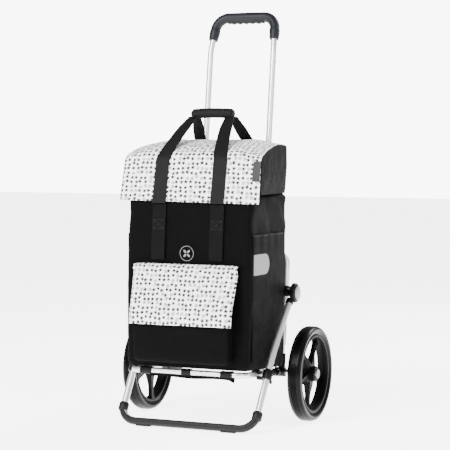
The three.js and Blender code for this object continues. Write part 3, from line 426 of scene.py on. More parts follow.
def fit(piece, body, look, *nodes):
    """Puts a finished piece on its body, with its finish, in place of some nodes of the frame."""
    activate(piece)
    bpy.ops.object.transform_apply(location=True, rotation=True, scale=True)
    piece.data.materials.clear()
    piece.data.materials.append(FINISHES[look])
    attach(piece, body)
    if nodes:
        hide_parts(*nodes)
    return piece


def lay(name, rows, around=False, round_along=False, ends=False):
    """A grid primitive laid on rows of points. Its UV map is in metres, measured on the middle lines."""
    across, length = len(rows[0]), len(rows)
    deselect()
    bpy.ops.mesh.primitive_grid_add(x_subdivisions=across - 1, y_subdivisions=length - 1, size=1,
                                    calc_uvs=True)
    piece = named(name)
    mesh = piece.data
    mesh.vertices.foreach_set("co", [c for row in rows for point in row for c in point])

    def runs(points):
        far = [0.0]
        for a, b in zip(points, points[1:]):
            far.append(far[-1] + (Vector(b) - Vector(a)).length)
        return far

    u, v = runs(rows[length // 2]), runs([row[across // 2] for row in rows])
    layer = mesh.uv_layers.active.data
    for loop in mesh.loops:
        j, i = divmod(loop.vertex_index, across)
        layer[loop.index].uv = (u[i], v[j])
    mesh.update()
    steps = [weld] if around or round_along else []
    if ends:
        steps.append(close_ends)
    if around or round_along:
        steps.append(outwards)
    return edit(piece, *steps)


def ring(radius, sides=24, wide=1.0, deep=1.0):
    """A closed section: (sideways, outwards) offsets in millimetres."""
    turns = [2 * math.pi * i / sides for i in range(sides + 1)]
    return [(radius * wide * math.cos(t), radius * deep * math.sin(t)) for t in turns]


def rounded(corners, radii, step=math.radians(6)):
    """A route through corner points with round bends, as (point, direction) stations."""
    stations = []
    for i, corner in enumerate(corners):
        if i in (0, len(corners) - 1):
            other = corners[1] if i == 0 else corners[-2]
            way = (other - corner) if i == 0 else (corner - other)
            stations.append((corner, way.normalized()))
            continue
        into = (corner - corners[i - 1]).normalized()
        out = (corners[i + 1] - corner).normalized()
        turn = into.angle(out)
        radius = radii[i - 1]
        start = corner - into * radius * math.tan(turn / 2)
        side = (out - into * out.dot(into)).normalized()
        count = max(2, round(turn / step))
        for k in range(count + 1):
            a = turn * k / count
            point = start + into * radius * math.sin(a) + side * radius * (1 - math.cos(a))
            stations.append((point, into * math.cos(a) + side * math.sin(a)))
    return stations


def sweep(name, stations, section, across, ends=True):
    """Sweeps a section, a list of offsets or a function of the share of the length, along stations.
    across is the direction of the section's first offset."""
    total = len(stations) - 1
    far = [0.0]
    for (a, _), (b, _) in zip(stations, stations[1:]):
        far.append(far[-1] + (b - a).length)
    rows = []
    for i in range(total + 1):
        point, way = stations[i]
        side = (across - way * across.dot(way)).normalized()
        out = way.cross(side)
        offsets = section(far[i] / far[-1], point) if callable(section) else section
        rows.append([point + side * a * MM + out * b * MM for a, b in offsets])
    return lay(name, rows, around=True, ends=ends)


def tube(name, stations, radius, across=Vector((0, 1, 0)), sides=24):
    return smooth(sweep(name, stations, ring(radius, sides), across))


def turned(name, profile, centre, steps=96, closed=True):
    """A shape turned about the x axis through centre: the profile is (radius, x) points in millimetres."""
    points = [*profile, profile[0]] if closed else profile
    rows = []
    for i in range(steps + 1):
        a = 2 * math.pi * i / steps
        rows.append([centre + Vector((x, r * math.cos(a), r * math.sin(a))) * MM for r, x in points])
    return lay(name, rows, around=closed, round_along=True)


def straight(a, b):
    way = (b - a).normalized()
    return [(a, way), (b, way)]


def refined(node, body, look, bevel=0.6, angle=35):
    """A copy of a node with its flat facets merged and its edges eased."""
    source = frame["nodes"][node]
    activate(source)
    piece = source.copy()
    piece.data = source.data.copy()
    piece.parent = None
    for key in list(piece.keys()):
        del piece[key]
    bpy.context.scene.collection.objects.link(piece)
    piece.name = piece.data.name = node + "_moulding"
    edit(piece, weld, lambda: bpy.ops.mesh.dissolve_limited(angle_limit=math.radians(1)))
    modify(piece, "BEVEL", width=bevel * MM, segments=2, limit_method="ANGLE",
           angle_limit=math.radians(angle))
    return fit(smooth(piece, 35), body, look, node)


# ---------------------------------------------------------------- stage, light and camera


def stage():
    deselect()
    bpy.ops.mesh.primitive_plane_add(size=44)
    floor = named("studio_floor")
    pale = Finish("studio_floor", base_color=(0.95, 0.95, 0.95), roughness=0.9, emission_color=(1, 1, 1),
                  emission_strength=4.6)
    floor.data.materials.append(pale.material)

    world = bpy.data.worlds.new("studio")
    bpy.context.scene.world = world
    world.use_nodes = True
    links, shown = world.node_tree.links, world.node_tree.nodes["Background"]
    shown.inputs["Color"].default_value = (1, 1, 1, 1)
    sight = world.node_tree.nodes.new("ShaderNodeLightPath")
    strength = world.node_tree.nodes.new("ShaderNodeMapRange")
    strength.inputs["To Min"].default_value, strength.inputs["To Max"].default_value = 0.55, 8.6
    links.new(sight.outputs["Is Camera Ray"], strength.inputs["Value"])
    links.new(strength.outputs["Result"], shown.inputs["Strength"])
    lights = (
        ("key_light", (-0.9, -3.5, 2.9), 1.8, 400),
        ("fill_light", (3.2, -2.0, 1.7), 1.6, 50),
        ("rim_light", (1.4, 2.6, 2.6), 1.6, 160),
    )
    for name, place, size, power in lights:
        deselect()
        bpy.ops.object.light_add(type="AREA", location=place)
        light = named(name)
        light.data.size, light.data.energy = size, power
        light.rotation_euler = (Vector((0, 0, 0.5)) - light.location).to_track_quat("-Z", "Y").to_euler()


def camera():
    deselect()
    bpy.ops.object.camera_add()
    eye = named("camera")
    eye.data.lens, eye.data.sensor_width = 130.9, 36
    turn = Matrix.Rotation(math.radians(23.62), 4, "Z")
    tilt = Matrix.Rotation(math.radians(90 - 2.46), 4, "X")
    roll = Matrix.Rotation(math.radians(0.28), 4, "Z")
    eye.matrix_world = Matrix.Translation(at(1753, -4031, 701)) @ turn @ tilt @ roll
    eye.data.clip_end = 60
    bpy.context.scene.camera = eye


# ---------------------------------------------------------------- tubes


def bow(half, x_sign=-1):
    """The whole of a symmetric bow from the corners of one half, given from the foot up."""
    mirrored = [Vector((x_sign * p.x, p.y, p.z)) for p in half]
    return [*mirrored, *reversed(half)]


def rear_frame():
    corners = bow([upright(156, 19, 200), upright(156, 19, 455)])
    pieces = [tube("frame_bow", rounded(corners, [45 * MM] * 2), 8.5)]
    pieces.append(tube("frame_bar", straight(upright(-156, 19, 228), upright(156, 19, 228)), 7.5))
    for side in SIDES.values():
        line = straight(upright(side * 156, 19, 148), upright(side * 156, 19, 204))
        pieces.append(tube("spigot", line, 6, Vector((1, 0, 0))))
    fit(smooth(join("frame_tubes", pieces)), "chassis", "aluminium_tube", "rear_frame")


def guide_tube(name, side):
    line = straight(upright(side * 92.7, 0, 150), upright(side * 92.7, 0, 708))
    piece = tube("guide_" + name, line, 10, Vector((1, 0, 0)))
    fit(piece, "chassis", "aluminium_tube", "guide_tube_" + name)


def drill(piece, centre, radius, depth):
    """A round hole square to the x axis."""
    deselect()
    turn = (0, math.pi / 2, 0)
    bpy.ops.mesh.primitive_cylinder_add(radius=radius * MM, depth=depth * MM, location=centre, rotation=turn)
    bit = named("drill_bit")
    modify(piece, "BOOLEAN", operation="DIFFERENCE", object=bit, solver="EXACT")
    bpy.data.objects.remove(bit)


HANDLE_HALF = [upright(92.7, 0, 575), upright(92.7, 0, 992), upright(85, 20, 1087)]
HANDLE_RADII = [120 * MM, 36 * MM, 36 * MM, 120 * MM]


def handle():
    piece = tube("handle_tube", rounded(bow(HANDLE_HALF), HANDLE_RADII), 8)
    for side in SIDES.values():
        for height in (716.5, 959.5):
            drill(piece, upright(side * 100.7, 0, height), 3.4, 6)
    fit(smooth(piece), "handle", "aluminium_tube", "handle_bow")
    # A black disc at the bottom of each upper hole: painted shade for the dark inside of the tube.
    for name, side in SIDES.items():
        deselect()
        place = upright(side * 98.2, 0, 959.5)
        turn = (0, math.pi / 2, 0)
        bpy.ops.mesh.primitive_cylinder_add(radius=0.0033, depth=0.001, location=place, rotation=turn)
        fit(named("hole_shade_" + name), "handle", "black_plastic")


def grip():
    arm = upright(92.7 + (85 - 92.7) * 30 / 95, 20 * 30 / 95, 1022)
    line = rounded(bow([arm, HANDLE_HALF[2]]), [36 * MM] * 2, math.radians(4))
    stations = []
    for (a, way_a), (b, way_b) in zip(line, line[1:]):
        count = max(1, round((b - a).length / 0.004))
        for k in range(count):
            stations.append((a.lerp(b, k / count), way_a.lerp(way_b, k / count).normalized()))
    stations.append(line[-1])

    def section(share, point):
        end = min(share, 1 - share)
        stops = [(0, 11.6), (0.003, 12.8), (0.085, 14.6), (0.10, 14.4), (0.115, 13.4), (0.3, 13.6)]
        return ring(along([*stops, (0.5, 14.2)], end), 32)

    body = smooth(sweep("grip_moulding", stations, section, Vector((0, 1, 0))))
    fit(body, "handle", "grip_plastic", "grip")
    low, high = upright(-55, 20, 1087), upright(55, 20, 1087)
    count = 96
    way = Vector((1, 0, 0))
    stations = [(low.lerp(high, k / count), way) for k in range(count + 1)]

    def waves(share, point):
        dip = abs(math.sin(share * math.pi * 6))
        end = between(min(share, 1 - share), 0, 0.03)
        return [(a, b - 6.8 * end + 1.0 - 2.6 * (1 - dip) * end) for a, b in ring(10.2 * end + 0.5, 24)]

    insert = smooth(sweep("finger_waves", stations, waves, Vector((0, 1, 0))))
    fit(insert, "handle", "soft_rubber", "finger_grip")


STAND_HALF = [at(188, -265, 12.6), at(191, -139.7, 204.8), at(191, -36, 311)]


def leg(side, z):
    """A point on the stand's straight lower leg at a height, and the way up the leg."""
    foot, knee = STAND_HALF[:2]
    way = (knee - foot).normalized()
    point = foot + way * ((z * MM - foot.z) / way.z)
    return Vector((side * point.x, point.y, point.z)), Vector((side * way.x, way.y, way.z))


def stand():
    corners = bow(list(reversed(STAND_HALF)))
    radii = [650 * MM, 42 * MM, 42 * MM, 650 * MM]
    piece = tube("stand_tube", rounded(corners, radii, math.radians(3)), 8.75)
    fit(piece, "stand", "aluminium_tube", "stand_bow")

    top, way = leg(1, 50)
    corners = [Vector((-top.x, top.y, top.z)), at(-188, -265, 12.6), at(188, -265, 12.6), top]
    open_by = math.radians(63)
    turns = [math.radians(-90) + open_by + (2 * math.pi - 2 * open_by) * i / 24 for i in range(25)]
    outer = [(10.95 * math.cos(t), 10.95 * math.sin(t)) for t in turns]
    inner = [(9.05 * math.cos(t), 9.05 * math.sin(t)) for t in reversed(turns)]
    normal = Vector((0, -way.z, way.y))
    line = rounded(corners, [42 * MM] * 2, math.radians(4))
    pieces = [sweep("sleeve_channel", line, [*outer, *inner, outer[0]], normal)]
    for side in SIDES.values():
        centre, way = leg(side, 43)
        stops = [(0, 10.9), (0.04, 12.1), (0.12, 12.95), (0.88, 12.95), (0.96, 12.1), (1, 10.9)]
        line = [(centre + way * lerp(-11, 11, share) * MM, way) for share, _ in stops]
        bead = sweep("sleeve_bead", line, lambda share, point: ring(along(stops, share), 32),
                     Vector((1, 0, 0)))
        pieces.append(bead)
        pieces.append(block("sleeve_pad", at(side * 119.5, -265, 3), (41, 18, 6), 1.4))
    fit(smooth(join("foot_sleeve_rubber", pieces), 35), "stand", "soft_rubber", "foot_sleeve")


def knob(name, side):
    """The oval head that the stand's leg turns with, its neck on the leg, and the boss on the pin."""
    pivot, top = at(0, -16, 338), STAND_HALF[2]
    profile = [(0.01, 190), (17, 190), (19.2, 191.5), (20, 194), (20, 203), (19.4, 205.4), (18.6, 206.4),
               (18.2, 206.4),
               (18.2, 201.2), (0.01, 201.2)]
    head = turned("knob_head", [(r, x * side) for r, x in profile], pivot, 72, closed=False)
    edit(head, weld, outwards)
    for vertex in head.data.vertices:
        offset = vertex.co - pivot
        far = math.hypot(offset.y, offset.z) / MM
        if far > 18.4:
            vertex.co.z = pivot.z + offset.z * lerp(1, 1.3, (far - 18.4) / 1.6)
    boss = turned("knob_boss", [(5.3, 182.2 * side), (8.6, 182.6 * side), (9, 190.5 * side),
                                (5.3, 190.5 * side)], pivot, 40)
    way = (STAND_HALF[2] - STAND_HALF[1]).normalized()
    line = []
    for share in (0, 0.1, 0.3, 0.6, 1):
        point = top + way * lerp(-2, 13, share) * MM
        line.append((Vector((side * point.x, point.y, point.z)), Vector((0, way.y, way.z))))
    neck = sweep("knob_neck", line, lambda share,
                 point: ring(along([(0, 9.4), (0.1, 10.4), (1, 10.2)], share), 32),
                 Vector((1, 0, 0)))
    piece = smooth(join("knob_moulding_" + name, [head, boss, neck]), 35)
    fit(piece, "stand", "black_plastic", "knob_housing_" + name)


def saddle(name, side):
    """The clip that joins the stand's leg to the platform's tube, with its two screws below."""
    crossing = PLATFORM_PIVOT + PLATFORM_WAY * 127 * MM + Vector((side * 158 * MM, 0, 0))
    centre, way = leg(side, crossing.z / MM)
    line = [(centre + way * step * MM, way) for step in (-14, -13, -11, 0, 11, 13, 14)]
    stops = [(0, 11.4), (0.04, 12.6), (0.11, 13.2), (0.89, 13.2), (0.96, 12.6), (1, 11.4)]
    pieces = [sweep("saddle_ring", line, lambda share, point: ring(along(stops, share), 40),
                    Vector((1, 0, 0)))]
    cup = [(crossing + PLATFORM_WAY * step * MM, PLATFORM_WAY) for step in (-11, -9.5, 9.5, 11)]
    arc = [math.radians(188 + 164 * i / 16) for i in range(17)]
    hollow = [(8.2 * math.cos(t), 8.2 * math.sin(t)) for t in reversed(arc)]
    solid = [(12 * math.cos(t), 12 * math.sin(t)) for t in arc]
    pieces.append(sweep("saddle_cup", cup, [*solid, *hollow, solid[0]], Vector((-1, 0, 0))))
    bridge = Vector(((crossing.x + centre.x) / 2, centre.y, crossing.z - 8 * MM))
    pieces.append(block("saddle_bridge", bridge, (22, 20, 8), 2))
    fit(smooth(join("saddle_moulding_" + name, pieces), 35), "stand", "black_plastic", "saddle_clip_" + name)
    screws = []
    for x in (-10, 9):
        place = centre + Vector((side * x, 0, -17)) * MM
        deselect()
        bpy.ops.mesh.primitive_cylinder_add(vertices=24, radius=3.6 * MM, depth=9 * MM, location=place)
        screws.append(modify(named("saddle_screw"), "BEVEL", width=0.8 * MM, segments=2,
                             limit_method="ANGLE"))
    fit(smooth(join("saddle_screws_" + name, screws), 35), "stand", "black_plastic")


def block(name, centre, size, bevel=0.0):
    deselect()
    bpy.ops.mesh.primitive_cube_add(size=1, location=centre)
    piece = named(name)
    piece.scale = [v * MM for v in size]
    bpy.ops.object.transform_apply(location=True, rotation=True, scale=True)
    if bevel:
        modify(piece, "BEVEL", width=bevel * MM, segments=3)
    return piece


PLATFORM_PIVOT, PLATFORM_FRONT = at(0, -53, 130), at(0, -262, 145.5)
PLATFORM_WAY = (PLATFORM_FRONT - PLATFORM_PIVOT).normalized()


def platform():
    eye = PLATFORM_PIVOT + PLATFORM_WAY * 12 * MM + Vector((158 * MM, 0, 0))
    corners = bow([eye, PLATFORM_FRONT + Vector((158 * MM, 0, 0))])
    piece = tube("platform_tube", rounded(corners, [28 * MM] * 2), 8, Vector((0, 0, 1)))
    fit(piece, "platform", "aluminium_tube", "platform_bow")
    for name, x in (("left", -110), ("centre", 1), ("right", 110)):
        stops = [(8.3, -13.5), (9.7, -13.2), (10.1, -12), (9.9, 0), (10.1, 12), (9.7, 13.2), (8.3, 13.5)]
        loop = turned("tie_band", stops, PLATFORM_FRONT + Vector((x * MM, 0, 0)), 32)
        fit(smooth(loop), "platform", "webbing", "tie_loop_" + name)
    for name, side in SIDES.items():
        stops = [(7.9, -3), (10.4, -2.6), (10.8, 0), (10.4, 2.6), (7.9, 3)]
        stop = turned("stop_ring_" + name, stops, PLATFORM_FRONT + Vector((side * 0.1265, 0, 0)), 32)
        fit(smooth(stop), "platform", "black_plastic")


# ---------------------------------------------------------------- wheels


def wheel(name, side):
    centre = at(side * 237.5, 0, 125)
    body = "wheel_" + name
    shoulder = [(104, -13), (108, -16.5), (113, -18.6), (117, -19), (120.5, -17.8), (122.8, -15.2),
                (124.0, -12)]
    crown = []
    for place in (-8, -4, 0, 4, 8):
        crown += [(125, place - 1.1), (125, place + 1.1)]
        if place < 8:
            crown += [(122.8, place + 1.6), (122.8, place + 2.4)]
    outer = [(r, -x) for r, x in reversed(shoulder)]
    tyre = turned("tyre_tread_" + name, [*shoulder, *crown, *outer], centre, 120)
    fit(smooth(tyre, 28), body, "tyre_rubber", "tyre_" + name)

    out = side
    lip = [(97, -15), (100, -15.6), (103.8, -14.2), (103.8, 14.2), (100, 15.6), (97, 15), (95.5, 12),
           (94, 4), (94, -6)]
    pieces = [turned("rim_barrel", lip, centre, 120)]
    hub = [(5.2, -18), (25, -18), (26.6, -16.5), (26.8, -6), (22, -1), (20, 4), (20, 14), (19.4, 17),
           (17.8, 18), (13.4, 18), (13.0, 15.5),
           (5.2, 15.5)]
    pieces.append(turned("hub", [(r, x * out) for r, x in hub], centre, 72))
    for i in range(5):
        angle = 2 * math.pi * (i + 0.5) / 5
        deselect()
        bpy.ops.mesh.primitive_cube_add(size=1)
        spoke = named("spoke")
        edit(spoke, lambda: bpy.ops.mesh.subdivide(number_cuts=7))
        for vertex in spoke.data.vertices:
            share = vertex.co.z + 0.5
            wide = lerp(25, 12.5, between(share, 0, 0.55)) + 7 * between(share, 0.86, 1.0)
            deep = lerp(24, 13, between(share, 0, 0.6)) + 5 * between(share, 0.88, 1.0)
            outer_face = 1 if vertex.co.x * out > 0.49 else 0
            hollow = 2.6 * (1 - (2 * vertex.co.y) ** 2) * between(share, 0.1, 0.3) * outer_face
            x = vertex.co.x * deep * 0.8 - out * (hollow + lerp(4.5, 7.5, between(share, 0, 0.8)))
            vertex.co = Vector((x, vertex.co.y * wide, lerp(17, 96.5, share))) * MM
        modify(spoke, "BEVEL", width=1.6 * MM, segments=3, limit_method="ANGLE", angle_limit=math.radians(50))
        spoke.data.transform(Matrix.Rotation(angle, 4, "X"))
        spoke.data.transform(Matrix.Translation(centre))
        pieces.append(spoke)
    fit(smooth(join("rim_moulding_" + name, pieces), 35), body, "rim_plastic", "rim_" + name)

    face = 18 + 2.5 + 0.15
    cap = [(0.01, face), (11.4, face), (12.2, face + 0.6), (12.4, face + 1.6), (11.6, face + 2.6),
           (10.4, face + 3),
           (9.8, face + 2.5), (0.01, face + 2.5)]
    disc = turned("hub_cap_" + name, [(r, x * out) for r, x in cap], centre, 64, closed=False)
    edit(disc, weld, outwards)
    fit(smooth(disc, 30), "wheel_button_" + name, "silver_plastic", "wheel_button_" + name)


# ---------------------------------------------------------------- fabric

BAG = [(156, -261, 167, 173), (168, -266, 171, 177), (330, -264, 173, 171), (460, -261, 173.5, 166),
       (560, -253, 174, 161), (592, -248, 172, 159), (604, -232, 151, 148), (680, -214, 149, 146)]


def leaning_y(back, z):
    return HANDLE_FOOT_Y + back / math.cos(LEAN) + z * math.tan(LEAN)


def bag_back(z):
    return leaning_y(-16.5, z)


def bag_numbers(z):
    return [along([(s[0], s[k]) for s in BAG], z) for k in (1, 2, 3)]


def bag_half(y, z):
    """Half the bag's width at a place on its side."""
    front, half_front, half_back = bag_numbers(z)
    return lerp(half_front, half_back, min(1, max(0, (y - front) / (bag_back(z) - front))))


def ripple(point, size, seed=0):
    """Soft random undulation from -1 to 1, for millimetre points."""
    return noise.noise(Vector(point) / size + Vector((seed * 17.3, seed * 5.1, seed)))


def bag_outline(z, count=128, shrink=1.0):
    """Points round the bag at a height, from the middle of its back wall, with its folds."""
    half_x, half_y, corner = 172, 117.5, 13
    flat_x, flat_y = half_x - corner, half_y - corner
    arc = corner * math.pi / 2
    total = 4 * (flat_x + flat_y + arc)
    front, half_front, half_back = bag_numbers(z)
    back = bag_back(z)
    points = []
    for i in range(count + 1):
        run = total * (i % count) / count
        u, v, nu, nv = 0, 0, 0, 1
        legs = [(flat_x, 0), (arc, 1), (2 * flat_y, 2), (arc, 3), (2 * flat_x, 4), (arc, 5),
                (2 * flat_y, 6), (arc, 7),
                (flat_x, 8)]
        for length, kind in legs:
            if run <= length or kind == 8:
                break
            run -= length
        turn = run / corner
        if kind == 0:
            u, v, nu, nv = run, half_y, 0, 1
        elif kind == 2:
            u, v, nu, nv = half_x, flat_y - run, 1, 0
        elif kind == 4:
            u, v, nu, nv = flat_x - run, -half_y, 0, -1
        elif kind == 6:
            u, v, nu, nv = -half_x, run - flat_y, -1, 0
        elif kind == 8:
            u, v, nu, nv = run - flat_x, half_y, 0, 1
        else:
            base = {1: math.pi / 2, 3: 0, 5: -math.pi / 2, 7: -math.pi}[kind]
            cu = flat_x if kind in (1, 3) else -flat_x
            cv = flat_y if kind in (1, 7) else -flat_y
            a = base - turn
            nu, nv = math.cos(a), math.sin(a)
            u, v = cu + corner * nu, cv + corner * nv
        share = (v + half_y) / (2 * half_y)
        y = lerp(front, back, share)
        x = u / half_x * lerp(half_front, half_back, share)
        rise = between(z, 160, 200) * (1 - between(z, 586, 604) * 0.3)
        side = nu * nu
        diagonal = math.sin((z * 0.9 + y * 0.75) / 17 + 1.4 * ripple((x, y, z), 90, 3))
        near_top = between(z, 470, 560) * (1 - between(z, 588, 600))
        push = rise * (2.2 * ripple((x, y, z), 70, 1) + 1.0 * ripple((x, y, z), 28, 2))
        push += side * near_top * (3.0 * diagonal - 0.5)
        push += side * between(z, 200, 330) * (1 - between(z, 400, 520)) * 1.5
        if z > 604:
            pleat = i / count * 2 * math.pi * 22 + 2 * ripple((x, y, z), 60, 4)
            push += 2.4 * math.sin(pleat) * between(z, 620, 680)
        if nv > 0.5:
            push *= 0.25
        middle = (1 - shrink) * (back - front) / 2
        x, y = (x + nu * push) * shrink, front + (y + nv * push - front) * shrink + middle
        points.append((x, y, z))
    return points


def bag():
    rows = []
    for shrink in (0.03, 0.3, 0.6, 0.85, 0.955):
        rows.append([(x, y, z - 0.05 * (y + 261)) for x, y, z in bag_outline(156, shrink=shrink)])
    heights = [157.5, 161, 168]
    heights += [168 + (586 - 168) * i / 64 for i in range(1, 65)]
    heights += [590, 593, 597, 601, 604] + [604 + 76 * i / 14 for i in range(1, 15)]
    for z in heights:
        sink = 0.05 * (1 - between(z, 156, 176))
        rows.append([(x, y, z - sink * (y + 261)) for x, y, z in bag_outline(z)])
    piece = lay("bag_cloth", [[at(*p) for p in row] for row in rows], around=True)
    modify(piece, "SOLIDIFY", thickness=1.6 * MM, offset=-1)
    board = []
    for i in range(13):
        z = lerp(560, 724, i / 12)
        board.append([at(138 * lerp(-1, 1, k / 24), bag_back(z) - 0.4 + 0.5 * ripple((k * 12, z, 0), 50),
                         z) for k in range(25)])
    back = lay("bag_back_board", board)
    modify(back, "SOLIDIFY", thickness=3.4 * MM, offset=1)
    edit(back, outwards)
    piece = smooth(join("bag_cloth", [piece, back]), 50)
    fit(piece, "chassis", "black_fabric", "bag_shell")


LID = [(-256.5, 583), (-250, 614), (-242.5, 650), (-234, 688), (-229, 699), (-221, 707), (-207, 715),
       (-190, 722),
       (-165, 729.5), (-140, 735), (-115, 739), (-90, 741), (-60, 741), (-35, 738), (-10, 732.5), (10, 728.5),
       (31, 725.5)]


def spline(points, count):
    """A smooth run of count + 1 points through 2-D points, even in length."""
    path = []
    for i in range(len(points) - 1):
        p0, p1, p2, p3 = points[max(0, i - 1)], points[i], points[i + 1], points[min(len(points) - 1, i + 2)]
        for k in range(12):
            t = k / 12
            path.append([
                0.5 * (2 * p1[c] + (p2[c] - p0[c]) * t + (2 * p0[c] - 5 * p1[c] + 4 * p2[c] - p3[c]) * t * t
                       + (3 * p1[c] - p0[c] - 3 * p2[c] + p3[c]) * t ** 3)
                for c in (0, 1)
            ])
    path.append(list(points[-1]))
    far = [0.0]
    for a, b in zip(path, path[1:]):
        far.append(far[-1] + math.dist(a, b))
    stops = [[(f, p[c]) for f, p in zip(far, path)] for c in (0, 1)]
    return [[along(s, far[-1] * i / count) for s in stops] for i in range(count + 1)]


def lid_half(y):
    return lerp(194, 153, (y + 256) / (36.27 + 256))


def lid_point(share_x, y, z):
    """A place on the lid's printed sheet, with its gentle puckers."""
    half = lid_half(y)
    x = share_x * half
    edge = between(abs(share_x), 0.93, 1.0)
    flap = 1 - between(z, 660, 700)
    pucker = 1.3 * ripple((x, y, z), 60, 5) + 0.5 * ripple((x, y, z), 25, 6)
    strap = math.exp(-((abs(x) - 81) / 26) ** 2) * (0.9 if flap > 0.5 else 1.6)
    drop = pucker - strap - 2.2 * edge * edge
    middle = 3.0 * math.exp(-(x / 70) ** 2) * between(z, 715, 738)
    sag = along([(-245, 0), (-234, 6), (-205, 13), (-140, 17), (-90, 16), (-35, 9), (10, 0)],
                y) * (1 if share_x > 0 else 0.6)
    middle += sag * between(abs(share_x), 0.55, 1.0) ** 1.5
    hangs = flap > 0.5
    push = (drop if hangs else 0.4 * drop) * (-1 if hangs else -0.5)
    skew = 3 * (1 + share_x) * (1 - between(z, 583, 640))
    return (x, y + push, z + (0 if hangs else drop) - middle - skew)


def lid():
    curve = spline(LID, 72)
    rows = [[at(*lid_point(lerp(-1, 1, k / 80), y, z)) for k in range(81)] for y, z in curve]
    top = lay("lid_print", rows)
    modify(top, "SOLIDIFY", thickness=1.6 * MM, offset=1)
    edit(top, outwards)
    fit(smooth(top, 50), "lid", "printed_fabric", "lid")

    rows = []
    for y, z in curve[1:]:
        down = between(z, 690, 722)
        points = [lid_point(lerp(-0.99, 0.99, k / 60), y, z) for k in range(61)]
        rows.append([at(px, py + 2.4 * (1 - down), pz - 2.4 * down) for px, py, pz in points])
    lining = lay("lid_lining", rows)
    modify(lining, "SOLIDIFY", thickness=0.5 * MM, offset=0)
    edit(lining, outwards)
    fit(smooth(lining, 50), "lid", "neck_fabric")

    pieces = []
    for side in SIDES.values():
        rows = []
        for y, z in curve:
            x, edge_y, edge_z = lid_point(side, y, z)
            hem = 600 - 17 * (1 - between(y, -256, -240))
            foot_y = max(edge_y, -251) + (8 - 0.123 * (edge_z - 600)) * between(y, 5, 31)
            row = []
            for k in range(25):
                share = k / 24
                bulge = 3.0 * math.sin(math.pi * share) * between(y, -250, -200)
                fold = 1.8 * ripple((x, edge_y, lerp(edge_z, hem, share)), 34,
                                    7) * math.sin(math.pi * share) ** 0.5
                place = (x + side * (bulge + fold - 1.6 * share), lerp(edge_y, foot_y, share),
                         lerp(edge_z - 0.6, hem, share))
                row.append(at(*place))
            rows.append(row)
        gusset = lay("lid_gusset", rows)
        modify(gusset, "SOLIDIFY", thickness=1.2 * MM, offset=side)
        edit(gusset, outwards)
        pieces.append(gusset)
        line = [at(*lid_point(side * 1.003, y, z)) for y, z in curve]
        stations = [(p, ((line[min(len(line) - 1, i + 1)]) - line[max(0, i - 1)]).normalized()) for i,
                    p in enumerate(line)]
        piping = sweep("lid_piping", stations, ring(1.7, 10), Vector((1, 0, 0)))
        pieces.append(piping)
    sides = smooth(join("lid_gussets", pieces), 50)
    fit(sides, "lid", "black_fabric")

    rows = []
    for i in range(13):
        z = lerp(634, 684, i / 12)
        y = along([(650, -242.5), (688, -234)], z) if z > 650 else along([(614, -250), (650, -242.5)], z)
        rows.append([at(lerp(171.6, 192.2, k / 6), y - 2.4 - 0.15 * ripple((k * 6, z, 0), 12),
                        z) for k in range(7)])
    label = lay("flap_label", rows)
    modify(label, "SOLIDIFY", thickness=0.9 * MM, offset=0)
    fit(smooth(label), "lid", "label_tape", "lid_label")


def strip(name, path, body, replaced, look="webbing", width=38, thick=2.2):
    """A strap laid along middle points with the direction across it at each."""
    rows = []
    for middle, across in path:
        narrowed = width * along([(0, 1), (700, 1), (770, 0.88), (800, 0.62)], middle[2])
        shares = (-0.5, -0.47, -0.25, 0, 0.25, 0.47, 0.5)
        rows.append([at(*(Vector(middle) + Vector(across) * narrowed * s)) for s in shares])
    piece = lay(name, rows)
    modify(piece, "SOLIDIFY", thickness=thick * MM, offset=1)
    edit(piece, outwards)
    modify(piece, "BEVEL", width=0.5 * MM, segments=2, limit_method="ANGLE", angle_limit=math.radians(60))
    fit(smooth(piece, 45), body, look, replaced)
    return piece


def strap_middle(side, z):
    return side * (81 if z < 688 else lerp(81, 52, min(1, (z - 688) / 112)))


def strap_path(side, points, count=28):
    path = []
    for y, z in spline(points, count):
        path.append(((strap_middle(side, z), y, z), (1, 0.05 * side * (1 if z > 700 else 0), 0)))
    return path


def straps():
    wrap_y, wrap_z = -104, 808
    front = [(-259.9, 576.5), (-248, 634), (-237.2, 687), (-228, 702), (-219, 713), (-170, 758),
             (-114, 799.5)]
    rear = [(-94, 799.5), (-66, 772), (-40, 744.5), (-24, 738.5), (10, 731.5), (31, 728.5)]
    webbing = [(-264.6, 432), (-264, 470), (-260, 515), (-256.2, 560), (-254, 576)]
    for name, side in SIDES.items():
        piece = strip("front_sling_" + name, strap_path(side, front, 48), "front_loop", "front_strap_" + name)
        piece = strip("rear_sling_" + name, strap_path(side, rear, 36), "rear_loop", "rear_strap_" + name)
        piece = strip("chest_band_" + name, strap_path(side, webbing, 30), "chassis",
                      "front_webbing_" + name, "black_webbing")
        stitches(name, side)
    line = []
    for i in range(61):
        share = i / 60
        x = lerp(-59.5, 59.5, share)
        line.append((at(x, wrap_y, wrap_z + 2.2 * math.sin(math.pi * share)), Vector((1, 0, 0))))

    def section(share, point):
        end = between(min(share, 1 - share), 0, 0.05)
        radius = lerp(9.0, 13.2, end) + 0.35 * ripple((share * 120, 0, 0), 9, 8)
        return [(a, b * 0.98) for a, b in ring(radius, 32)]

    wrap = smooth(sweep("carry_pad", line, section, Vector((0, 1, 0))), 60)
    fit(wrap, "front_loop", "webbing", "carry_wrap")


